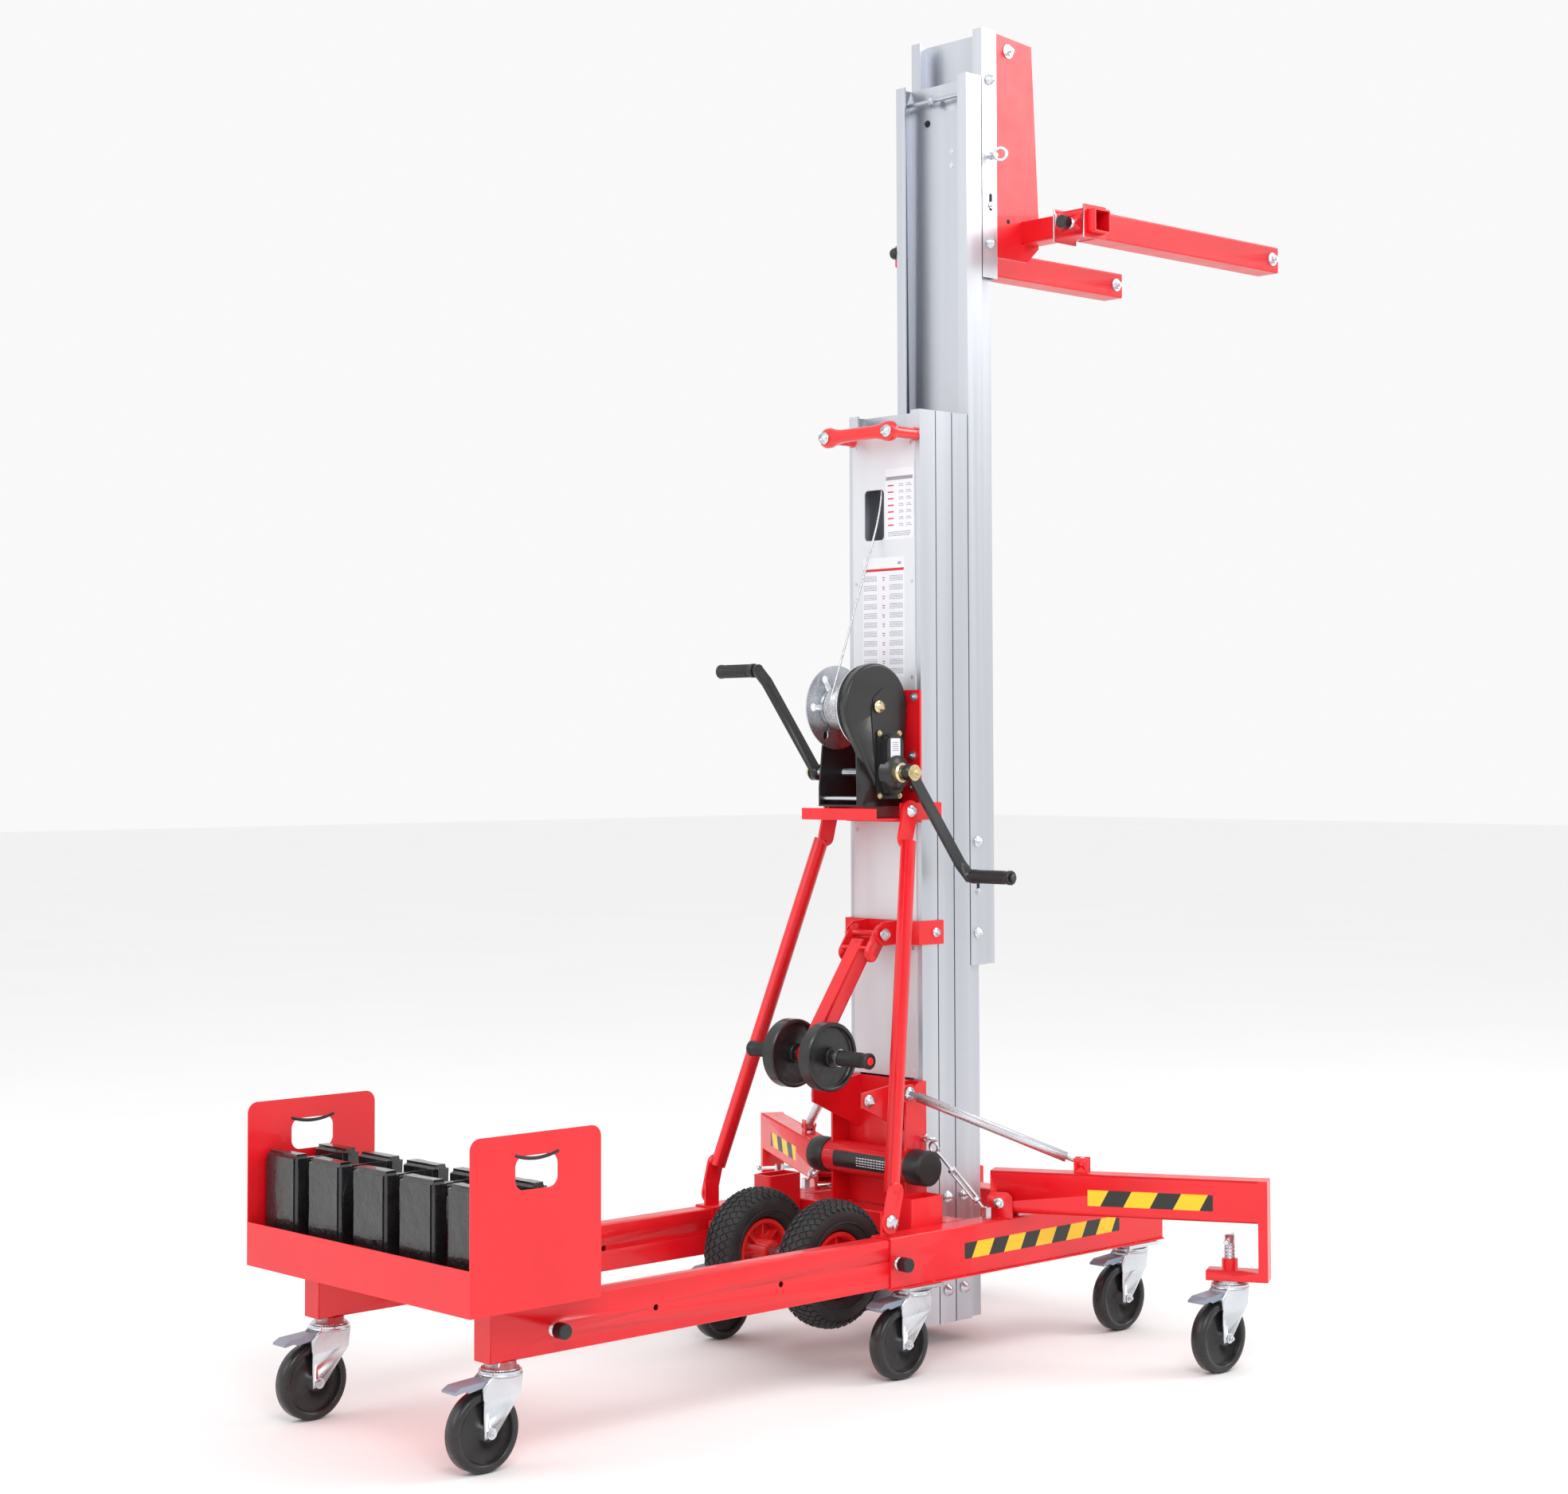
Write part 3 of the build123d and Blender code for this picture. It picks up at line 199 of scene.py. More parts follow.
@dataclass(frozen=True)
class Stripes(Finish):
    """Two-colour tape whose slanting stripes are set by a direction.

    Attributes:
        along: Direction and slant of the run of stripes.
        pitch: Length of one pair of stripes.
        start: Where a pair starts, measured along the direction.
        share: Part of a pair that the main colour takes.
    """

    along: tuple[float, float, float] = (1.0, 0.0, -0.54)
    pitch: float = 0.102
    start: float = 0.0
    share: float = 0.53

    def colouring(self, tree: bpy.types.NodeTree, place: bpy.types.NodeSocket,
                  pattern: bpy.types.NodeSocket) -> bpy.types.NodeSocket:
        """Colour socket: slanting stripes of the main colour on the second."""
        run = add_node(tree, "ShaderNodeVectorMath", {0: place, 1: self.along}, operation="DOT_PRODUCT")
        moved = add_node(tree, "ShaderNodeMath", {0: run.outputs["Value"], 1: self.start},
                         operation="SUBTRACT")
        turns = add_node(tree, "ShaderNodeMath", {0: moved.outputs["Value"], 1: self.pitch},
                         operation="DIVIDE")
        part = add_node(tree, "ShaderNodeMath", {0: turns.outputs["Value"]}, operation="FRACT")
        ramp = add_node(tree, "ShaderNodeValToRGB", {"Fac": part.outputs["Value"]})
        ramp.color_ramp.interpolation = "CONSTANT"
        ramp.color_ramp.elements[0].color = (*self.colour, 1.0)
        ramp.color_ramp.elements[1].position = self.share
        ramp.color_ramp.elements[1].color = (*self.shade, 1.0)
        return ramp.outputs["Color"]


RED = Finish("red_powder_coat", (0.80, 0.006, 0.014), (0.72, 0.004, 0.010), Relief.PEEL, "red_frame",
             (0.30, 0.42), grain=420.0, depth=0.00006, mottle=5.0, coat=0.25)
GLOSS_RED = Finish("red_gloss_casting", (0.82, 0.010, 0.012), (0.70, 0.004, 0.008), Relief.PEEL, "red_frame",
                   (0.12, 0.24), grain=260.0, depth=0.00008, coat=0.6)
RED_PLASTIC = Finish("red_moulding", (0.78, 0.014, 0.014), (0.66, 0.010, 0.010), Relief.GRAIN, "red_plastic",
                     (0.34, 0.5), grain=900.0)
ALUMINIUM = Finish("anodised_aluminium", (0.60, 0.62, 0.66), (0.52, 0.54, 0.59), Relief.DRAWN,
                   "aluminium_mast", (0.30, 0.44), 0.88, grain=420.0, depth=0.00003, mottle=12.0,
                   stretch=(1.0, 1.0, 0.012))
SHEET = Finish("aluminium_sheet", (0.70, 0.71, 0.74), (0.63, 0.64, 0.68), Relief.DRAWN, "aluminium_mast",
               (0.42, 0.55), 0.6, grain=800.0, depth=0.00002, mottle=7.0, stretch=(1.0, 1.0, 0.03))
ZINC = Finish("bright_zinc", (0.70, 0.73, 0.76), (0.61, 0.64, 0.68), Relief.SPANGLE, "zinc_hardware",
              (0.22, 0.34), 0.95, grain=420.0, depth=0.000002, mottle=14.0)
YELLOW_ZINC = Finish("yellow_zinc", (0.76, 0.64, 0.36), (0.62, 0.58, 0.44), Relief.SPANGLE, "zinc_hardware",
                     (0.22, 0.36), 0.95, grain=420.0, depth=0.000002, mottle=60.0)
PEDAL = Finish("blue_grey_pedal", (0.30, 0.34, 0.42), (0.22, 0.26, 0.34), Relief.PEEL, "zinc_hardware",
               (0.34, 0.5), 0.35, grain=900.0)
BLACK = Finish("black_moulding", (0.016, 0.016, 0.018), (0.010, 0.010, 0.011), Relief.GRAIN, "black_plastic",
               (0.34, 0.52), grain=900.0, depth=0.00005)
WHEEL_BLACK = Finish("black_nylon_wheel", (0.012, 0.012, 0.013), (0.020, 0.020, 0.021), Relief.GRAIN,
                     "black_plastic", (0.22, 0.42), grain=260.0, mottle=18.0)
RUBBER = Finish("tyre_rubber_black", (0.022, 0.022, 0.024), (0.012, 0.012, 0.013), Relief.GRAIN,
                "tyre_rubber", (0.52, 0.72), grain=1300.0, depth=0.00012, mottle=30.0)
CAST = Finish("black_cast_iron", (0.014, 0.014, 0.016), (0.008, 0.008, 0.009), Relief.CAST, "black_cast",
              (0.16, 0.34), grain=120.0, depth=0.0012, mottle=20.0, coat=0.5)
SATIN = Finish("winch_black_coat", (0.016, 0.016, 0.018), (0.011, 0.011, 0.012), Relief.PEEL, "winch_black",
               (0.30, 0.42), grain=600.0, depth=0.00005, coat=0.15)
ROPE = Finish("steel_rope_strands", (0.72, 0.72, 0.74), (0.34, 0.34, 0.36), Relief.GRAIN, "steel_rope",
              (0.3, 0.5), 0.85, grain=900.0, depth=0.0004, mottle=520.0, stretch=(1.0, 1.0, 0.45))
PAPER = Finish("label_film", (0.76, 0.76, 0.80), (0.71, 0.71, 0.76), Relief.PEEL, "aluminium_mast",
               (0.36, 0.48), grain=500.0, depth=0.00001)
INK = Finish("label_ink", (0.24, 0.24, 0.29), (0.32, 0.32, 0.37), Relief.GRAIN, "black_plastic", (0.4, 0.5),
             mottle=400.0)
RED_INK = Finish("label_red_ink", (0.62, 0.02, 0.02), (0.52, 0.02, 0.02), Relief.GRAIN, "red_plastic",
                 (0.4, 0.5), mottle=400.0)
# Near-black film laid over slots and holes: painted shade of the hollows behind them.
PAINTED_HOLE_SHADE = Finish("painted_hole_shade", (0.006, 0.006, 0.007), (0.010, 0.010, 0.011), Relief.GRAIN, "black_plastic",
              (0.6, 0.8))
TAPE_SIZE = (0.90, 0.56, 0.012), (0.018, 0.018, 0.016)


# ---------------------------------------------------------------- meshes
def eased(mesh: bpy.types.Mesh, degrees: float = 32.0) -> bpy.types.Mesh:
    """Smooth shading that keeps the edges sharper than an angle."""
    mesh.shade_smooth()
    mesh.set_sharp_from_angle(angle=math.radians(degrees))
    return mesh


def finished(name: str, mesh: bpy.types.Mesh, body: str, finish: Finish,
             stands_for: Sequence[str] = ()) -> bpy.types.Object:
    """Turns a mesh into a piece of the machine.

    Args:
        name: Name of the piece.
        mesh: Mesh with its place in its vertices.
        body: Body that the piece rides on.
        finish: Finish for the whole piece, used where the mesh has no material yet.
        stands_for: CAD nodes that the piece replaces.

    Returns:
        The piece.
    """
    if not mesh.materials:
        mesh.materials.append(finish.material())
    obj = bpy.data.objects.new(name, eased(mesh))
    bpy.context.scene.collection.objects.link(obj)
    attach(obj, body)
    if stands_for:
        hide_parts(*stands_for)
    log.info("%s on %s: %d faces", name, body, len(mesh.polygons))
    return obj


def paint(finish: Finish, *nodes: str) -> None:
    """Gives CAD nodes a finish in every material slot."""
    for name in nodes:
        obj = frame["nodes"][name]
        if not obj.material_slots:
            obj.data.materials.append(None)
        for slot in obj.material_slots:
            slot.material = finish.material()


def reclad(node: str, finish: Finish, *shares: tuple[Finish, Callable[[Vector], bool]]) -> bpy.types.Object:
    """A copy of a CAD node with its faces shared among finishes by where they lie.

    Args:
        node: CAD node to copy and stand for.
        finish: Finish of the faces that no share takes.
        shares: Finish and test on a face's centre, the first that says yes wins.

    Returns:
        The piece.
    """
    shape = bmesh.new()
    shape.from_mesh(frame["nodes"][node].data)
    bmesh.ops.remove_doubles(shape, verts=shape.verts, dist=1e-6)
    for face in shape.faces:
        centre = face.calc_center_median()
        face.material_index = next((n + 1 for n, (_, test) in enumerate(shares) if test(centre)), 0)
    mesh = bpy.data.meshes.new(node)
    for choice in (finish, *(share[0] for share in shares)):
        mesh.materials.append(choice.material())
    shape.to_mesh(mesh)
    shape.free()
    return finished(f"{node}_finished", mesh, BODY_OF[node], finish, (node,))


def from_shape(shape: bmesh.types.BMesh, matrix: Matrix | None = None) -> bpy.types.Mesh:
    """Mesh of a closed bmesh, moved into place with its faces turned outwards."""
    if matrix is not None:
        bmesh.ops.transform(shape, matrix=matrix, verts=shape.verts)
    bmesh.ops.recalc_face_normals(shape, faces=shape.faces)
    mesh = bpy.data.meshes.new("shape")
    shape.to_mesh(mesh)
    shape.free()
    return mesh


def standing(place: Vector, axis: Vector, across: Vector | None = None) -> Matrix:
    """Matrix that puts a shape's Z on an axis through a place, and its X near another direction."""
    z = axis.normalized()
    x = (across or (Vector((1, 0, 0)) if abs(z.x) < 0.9 else Vector((0, 0, 1)))).copy()
    x = (x - z * x.dot(z)).normalized()
    y = z.cross(x)
    turn = Matrix((x, y, z)).transposed().to_4x4()
    return Matrix.Translation(place) @ turn


def turned(profile: Sequence[tuple[float, float]], matrix: Matrix, steps: int = 48,
           ring: bool = False) -> bpy.types.Mesh:
    """Turned shape.

    Args:
        profile: Radius and height of each point in millimetres; a radius of 0 is a pole.
        matrix: Place of the shape's base, with Z as its axis.
        steps: Points round the shape.
        ring: True joins the last point to the first, for a tyre or a ring.

    Returns:
        The closed mesh.
    """
    shape = bmesh.new()
    rows = []
    for radius, height in profile:
        if radius == 0:
            rows.append([shape.verts.new((0, 0, height * MM))] * steps)
            continue
        rows.append([shape.verts.new((radius * MM * math.cos(math.tau * k / steps),
                                      radius * MM * math.sin(math.tau * k / steps), height * MM))
                     for k in range(steps)])
    pairs = list(zip(rows, rows[1:] + rows[:1] if ring else rows[1:]))
    for low, high in pairs:
        for k in range(steps):
            corners = [low[k], low[(k + 1) % steps], high[(k + 1) % steps], high[k]]
            shape.faces.new(list(dict.fromkeys(corners)))
    return from_shape(shape, matrix)


def slab(outline: Sequence[tuple[float, float]], thickness: float, matrix: Matrix,
         bevel: float = 0.0) -> bpy.types.Mesh:
    """Flat plate with an outline in millimetres, standing up along Z from its base.

    Args:
        outline: Corners, anticlockwise.
        thickness: Height of the plate in millimetres.
        matrix: Place of the outline's origin.
        bevel: Size of the eased edges in millimetres.

    Returns:
        The closed mesh.
    """
    shape = bmesh.new()
    base = shape.faces.new([shape.verts.new((x * MM, y * MM, 0)) for x, y in outline])
    top = bmesh.ops.extrude_face_region(shape, geom=[base])
    bmesh.ops.translate(shape, vec=(0, 0, thickness * MM),
                        verts=[v for v in top["geom"] if isinstance(v, bmesh.types.BMVert)])
    if bevel:
        bmesh.ops.bevel(shape, geom=shape.edges[:], offset=bevel * MM, segments=2, affect="EDGES",
                        clamp_overlap=True)
    return from_shape(shape, matrix)


def rounded(width: float, height: float, corner: float, steps: int = 5) -> list[tuple[float, float]]:
    """Outline of a rectangle with round corners about its centre, anticlockwise, in millimetres."""
    points = []
    for n, (sx, sy) in enumerate(((1, 1), (-1, 1), (-1, -1), (1, -1))):
        for k in range(steps + 1):
            angle = math.pi / 2 * (n + k / steps)
            points.append((sx * (width / 2 - corner) + corner * math.cos(angle),
                           sy * (height / 2 - corner) + corner * math.sin(angle)))
    return points


def swept(points: Sequence[Vector], radius: float, closed: bool = False,
          smooth: bool = False) -> bpy.types.Mesh:
    """Round wire along points.

    Args:
        points: Points in metres.
        radius: Radius in millimetres.
        closed: True for a ring.
        smooth: True for a NURBS line through the points' hull.

    Returns:
        The mesh with closed ends.
    """
    curve = bpy.data.curves.new("wire", "CURVE")
    curve.dimensions = "3D"
    curve.bevel_depth = radius * MM
    curve.bevel_resolution = 4
    curve.use_fill_caps = True
    spline = curve.splines.new("NURBS" if smooth else "POLY")
    spline.points.add(len(points) - 1)
    for point, place in zip(spline.points, points):
        point.co = (*place, 1.0)
    if smooth:
        spline.order_u = 3
        spline.use_endpoint_u = not closed
    spline.use_cyclic_u = closed
    holder = bpy.data.objects.new("wire", curve)
    bpy.context.scene.collection.objects.link(holder)
    mesh = bpy.data.meshes.new_from_object(holder.evaluated_get(bpy.context.evaluated_depsgraph_get()))
    bpy.data.objects.remove(holder)
    bpy.data.curves.remove(curve)
    return mesh


def joined(*meshes: bpy.types.Mesh) -> bpy.types.Mesh:
    """One mesh from several, without materials."""
    shape = bmesh.new()
    for mesh in meshes:
        shape.from_mesh(mesh)
    result = bpy.data.meshes.new("joined")
    bmesh.ops.recalc_face_normals(shape, faces=shape.faces)
    shape.to_mesh(result)
    shape.free()
    return result


def circle(centre: Vector, axis: Vector, radius: float, steps: int = 24) -> list[Vector]:
    """Points round a circle in metres; the radius is in millimetres."""
    place = standing(centre, axis)
    return [place @ Vector((radius * MM * math.cos(math.tau * k / steps),
                            radius * MM * math.sin(math.tau * k / steps), 0)) for k in range(steps)]


# ---------------------------------------------------------------- geometry node trees
class Spot(NamedTuple):
    """Place of one repeated shape: its axis, the direction of its X and its scale."""

    place: Vector
    axis: Vector
    across: Vector = Vector((0, 0, 1))
    size: Vector = Vector((1, 1, 1))


class Pattern:
    """A Geometry Nodes tree that is run once and turned into a plain mesh."""

    def __init__(self, name: str, **sizes: float) -> None:
        """Starts a tree whose named inputs are the sizes, in metres unless they are counts."""
        self.tree = bpy.data.node_groups.new(name, "GeometryNodeTree")
        self.sizes = sizes
        for side in ("INPUT", "OUTPUT"):
            self.tree.interface.new_socket("Geometry", in_out=side, socket_type="NodeSocketGeometry")
        for label, value in sizes.items():
            kind = "NodeSocketInt" if isinstance(value, int) else "NodeSocketFloat"
            self.tree.interface.new_socket(label, in_out="INPUT", socket_type=kind)
        self.given = self.node("NodeGroupInput").outputs

    def node(self, kind: str, feeds: dict | None = None, **settings) -> bpy.types.Node:
        """Adds a node to the tree."""
        return add_node(self.tree, kind, feeds, **settings)

    def joint(self, *parts: bpy.types.NodeSocket) -> bpy.types.NodeSocket:
        """Socket with several geometries joined."""
        join = self.node("GeometryNodeJoinGeometry")
        for part in parts:
            self.tree.links.new(part, join.inputs["Geometry"])
        return join.outputs["Geometry"]

    def cylinder(self, radius: object, depth: object, sides: int, base: float = 0.0) -> bpy.types.NodeSocket:
        """Socket with a cylinder that stands on a height above the origin."""
        body = self.node("GeometryNodeMeshCylinder", {"Vertices": sides, "Radius": radius, "Depth": depth})
        lift = self.node("ShaderNodeMath", {0: depth, 1: 0.5, 2: base}, operation="MULTIPLY_ADD")
        up = self.node("ShaderNodeCombineXYZ", {"Z": lift.outputs["Value"]})
        moved = self.node("GeometryNodeTransform", {"Geometry": body.outputs["Mesh"],
                                                    "Translation": up.outputs["Vector"]})
        return moved.outputs["Geometry"]

    def scattered(self, shape: bpy.types.NodeSocket) -> bpy.types.NodeSocket:
        """Socket with the shape on every point, turned and scaled by the points' attributes."""
        across, axis, size = (
            self.node("GeometryNodeInputNamedAttribute", {"Name": label}, data_type="FLOAT_VECTOR").outputs[0]
            for label in ("across", "axis", "size"))
        first = self.node("FunctionNodeAlignRotationToVector", {"Vector": across}, axis="X")
        second = self.node("FunctionNodeAlignRotationToVector",
                           {"Rotation": first.outputs["Rotation"], "Vector": axis}, axis="Z", pivot_axis="X")
        copies = self.node("GeometryNodeInstanceOnPoints", {
            "Points": self.given["Geometry"], "Instance": shape, "Rotation": second.outputs["Rotation"],
            "Scale": size})
        return copies.outputs["Instances"]

    def made(self, shape: bpy.types.NodeSocket, finish: Finish, spots: Sequence[Spot] = ()) -> bpy.types.Mesh:
        """Ends the tree and runs it.

        Args:
            shape: Socket with the finished geometry.
            finish: Finish that Set Material gives.
            spots: Points that the tree reads.

        Returns:
            The plain mesh.
        """
        real = self.node("GeometryNodeRealizeInstances", {"Geometry": shape})
        coated = self.node("GeometryNodeSetMaterial", {"Geometry": real.outputs["Geometry"],
                                                       "Material": finish.material()})
        self.node("NodeGroupOutput", {"Geometry": coated.outputs["Geometry"]})
        mesh = bpy.data.meshes.new("spots")
        mesh.from_pydata([tuple(s.place) for s in spots], [], [])
        for label in ("across", "axis", "size"):
            values = mesh.attributes.new(label, "FLOAT_VECTOR", "POINT").data
            for value, spot in zip(values, spots):
                value.vector = getattr(spot, label)
        holder = bpy.data.objects.new("spots", mesh)
        modifier = holder.modifiers.new("pattern", "NODES")
        modifier.node_group = self.tree
        for item in self.tree.interface.items_tree:
            if item.in_out == "INPUT" and item.name in self.sizes:
                modifier[item.identifier] = self.sizes[item.name]
        bpy.context.scene.collection.objects.link(holder)
        result = bpy.data.meshes.new_from_object(holder.evaluated_get(bpy.context.evaluated_depsgraph_get()))
        holder.modifiers.clear()
        bpy.data.objects.remove(holder)
        return result


def fasteners(spots: Sequence[Spot], finish: Finish = ZINC, radius: float = 6.0,
              stud: bool = True) -> bpy.types.Mesh:
    """Washer, hexagon nut and stud end on every spot.

    Args:
        spots: Where they stand; the axis points away from the wall.
        finish: Their finish.
        radius: Nut radius in millimetres, across its corners.
        stud: False leaves the stud out, for small screws.

    Returns:
        The mesh.
    """
    pattern = Pattern("fastener", Nut=radius * MM, Washer=radius * 1.5 * MM)
    washer = pattern.cylinder(pattern.given["Washer"], radius * 0.24 * MM, 24)
    nut = pattern.cylinder(pattern.given["Nut"], radius * 0.95 * MM, 6)
    parts = [washer, nut]
    if stud:
        parts.append(pattern.cylinder(radius * 0.5 * MM, radius * 1.5 * MM, 14))
    return pattern.made(pattern.scattered(pattern.joint(*parts)), finish, spots)


def blocks(spots: Sequence[Spot], finish: Finish) -> bpy.types.Mesh:
    """Unit blocks on every spot, each with its own size in metres."""
    pattern = Pattern("block", Side=1.0)
    cube = pattern.node("GeometryNodeMeshCube")
    whole = pattern.node("GeometryNodeTransform", {"Geometry": cube.outputs["Mesh"]})
    width = pattern.node("ShaderNodeCombineXYZ", {k: pattern.given["Side"] for k in "XYZ"})
    pattern.tree.links.new(width.outputs["Vector"], whole.inputs["Scale"])
    return pattern.made(pattern.scattered(whole.outputs["Geometry"]), finish, spots)


def beads(spots: Sequence[Spot], finish: Finish, radius: float) -> bpy.types.Mesh:
    """Low round beads on every spot, such as weld spots; the radius is in millimetres."""
    pattern = Pattern("bead", Radius=radius * MM)
    ball = pattern.node("GeometryNodeMeshIcoSphere", {"Radius": pattern.given["Radius"], "Subdivisions": 2})
    return pattern.made(pattern.scattered(ball.outputs["Mesh"]), finish, spots)


def rings(spots: Sequence[Spot], finish: Finish, radius: float, wire: float) -> bpy.types.Mesh:
    """Round rings about every spot's axis; sizes are in millimetres."""
    pattern = Pattern("ring", Radius=radius * MM, Wire=wire * MM)
    path = pattern.node("GeometryNodeCurvePrimitiveCircle",
                        {"Radius": pattern.given["Radius"], "Resolution": 32})
    cut = pattern.node("GeometryNodeCurvePrimitiveCircle", {"Radius": pattern.given["Wire"], "Resolution": 8})
    ring = pattern.node("GeometryNodeCurveToMesh", {"Curve": path.outputs["Curve"],
                                                    "Profile Curve": cut.outputs["Curve"]})
    return pattern.made(pattern.scattered(ring.outputs["Mesh"]), finish, spots)


def helix(spot: Spot, finish: Finish, radius: float, wire: float, turns: float,
          height: float) -> bpy.types.Mesh:
    """Wire wound about a spot's axis; sizes are in millimetres."""
    pattern = Pattern("helix", Radius=radius * MM, Wire=wire * MM, Turns=turns, Height=height * MM)
    path = pattern.node("GeometryNodeCurveSpiral", {
        "Resolution": 28, "Rotations": pattern.given["Turns"], "Start Radius": pattern.given["Radius"],
        "End Radius": pattern.given["Radius"], "Height": pattern.given["Height"]})
    cut = pattern.node("GeometryNodeCurvePrimitiveCircle", {"Radius": pattern.given["Wire"], "Resolution": 8})
    wound = pattern.node("GeometryNodeCurveToMesh", {
        "Curve": path.outputs["Curve"], "Profile Curve": cut.outputs["Curve"], "Fill Caps": True})
    return pattern.made(pattern.scattered(wound.outputs["Mesh"]), finish, (spot,))


# ---------------------------------------------------------------- small parts used in several places
@dataclass
class Label:
    """Printed film with generic blocks in place of any print.

    Attributes:
        centre: Middle of the film, on the wall.
        out: Direction away from the wall.
        width: Width in millimetres.
        height: Height in millimetres.
    """

    centre: Vector
    out: Vector
    width: float
    height: float

    def film(self) -> bpy.types.Mesh:
        """The film itself."""
        place = standing(self.centre, self.out, UP)
        return slab(rounded(self.height, self.width, 2.0, 3), 0.3, place)

    def bar(self, right: float, up: float, width: float, height: float) -> Spot:
        """Printed bar, placed from the film's centre in millimetres."""
        side = UP.cross(self.out)
        place = self.centre + side * right * MM + Vector((0, 0, up * MM)) + self.out * 0.35 * MM
        return Spot(place, self.out, UP, Vector((height * MM, width * MM, 0.2 * MM)))

    def lines(self, right: float, up: float, width: float, count: int, step: float) -> list[Spot]:
        """Lines of blocks of uneven length, as small print looks from a distance."""
        made = []
        for row in range(count):
            left = right - width / 2
            column = 0
            while left < right + width / 2 - 3:
                length = min(3.0 + (7 * row + 5 * column) % 6, right + width / 2 - left)
                made.append(self.bar(left + length / 2, up - row * step, length, step * 0.42))
                left += length + 1.6
                column += 1
        return made


@dataclass
class Grip:
    """Ribbed rubber hand grip.

    Attributes:
        start: Inner end.
        axis: Direction towards the outer end.
        length: Length in millimetres.
        radius: Radius in millimetres.
    """

    start: Vector
    axis: Vector
    length: float
    radius: float

    def build(self, name: str, body: str, stands_for: Sequence[str] = ()) -> None:
        """Makes the sleeve and its ribs as one piece."""
        r, end = self.radius, self.length
        profile = [(0, 0), (r - 2, 0), (r, 2), (r, 12), (r - 1.5, 15), (r - 1.5, end - 12), (r, end - 9),
                   (r, end - 2), (r - 2, end), (r - 6, end), (r - 7, end - 2), (0, end - 2)]
        sleeve = turned(profile, standing(self.start, self.axis))
        spots = [Spot(self.start + self.axis * (18 + 6 * k) * MM, self.axis, UP)
                 for k in range(int((end - 34) / 6))]
        ribs = rings(spots, BLACK, r - 2.2, 1.5)
        finished(name, joined(sleeve, ribs), body, BLACK, stands_for)


# ---------------------------------------------------------------- sub-assemblies
@dataclass
class Base:
    """Wheeled base frame with its tapes, weld spots, struts and mast socket."""

    beam_face: float = 309.0
    beam_low: float = 194.0
    tape_height: float = 34.0
    tape_run: tuple[float, float] = (-77.0, 435.0)
    flange: float = 6.0

    def dress(self) -> None:
        """Finishes the CAD nodes of the base."""
        paint(RED, "side_beams", "cross_beams", "mast_socket", "arm_bracket", "winch_bracket")
        reclad("mast_struts", RED)
        reclad("outrigger_brackets", RED, (ZINC, self.on_hinge_bolt))
        reclad("wheel_axle", ZINC, (RED, lambda p: abs(p.y) > 0.1865))
        reclad("caster_mounts", ZINC)
        knob = self.beam_face + 11.5
        reclad("frame_fasteners", ZINC,
               (BLACK, lambda p: abs(p.y) > knob * MM and p.z < 0.27 and p.x < MAST_REAR - 0.2),
               (RED, lambda p: p.z > 0.301 and p.z < 0.356 and abs(p.y) < 0.2835))

    def on_hinge_bolt(self, place: Vector) -> bool:
        """True for a face of the pivot bolts, which lie near the hinge line outside the ears."""
        pivot = at(78, 276, 334)
        arm = Vector((math.cos(math.radians(60)), math.sin(math.radians(60)), 0))
        offset = Vector((place.x, abs(place.y), place.z)) - pivot
        return Vector((offset.dot(arm), offset.z)).length < 0.0125 and offset.length > 0.0344

    def build(self) -> None:
        """Makes the tapes, flanges and weld spots."""
        start, end = self.tape_run
        middle = (start + end) / 2
        for name, side in SIDES.items():
            out = Vector((0, side, 0))
            tape = Stripes(f"hazard_tape_beam_{name}", *TAPE_SIZE, Relief.PEEL, "black_plastic", (0.34, 0.46),
                           along=(1.0, 0.0, -0.54), start=MAST_REAR + (start + 31) * MM - 0.54 * 0.248)
            face = standing(at(middle, side * self.beam_face, 248), out, UP)
            outline = rounded(self.tape_height, end - start, 1.0, 2)
            finished(f"beam_tape_{name}", slab(outline, 0.3, face), "base", tape)
            lip = standing(at(143.5, side * (self.beam_face + self.flange / 2), self.beam_low), UP, FORWARD)
            outline = rounded(891, self.flange, 1.5, 2)
            finished(f"beam_flange_{name}", slab(outline, 3.0, lip, 0.5), "base", RED)
            spots = [Spot(at(-270 + 95 * k, side * (self.beam_face + 0.5), self.beam_low + 3.5), UP, FORWARD,
                          Vector((1.6, 1, 0.8))) for k in range(10)]
            finished(f"beam_weld_spots_{name}", beads(spots, RED, 2.6), "base", RED)
            corner = [Spot(at(x, side * y, 302), UP, FORWARD, Vector((1.5, 1, 0.6)))
                      for x in (52, 108) for y in (262, 278, 292)]
            finished(f"bracket_weld_{name}", beads(corner, RED, 4.0), "base", RED)


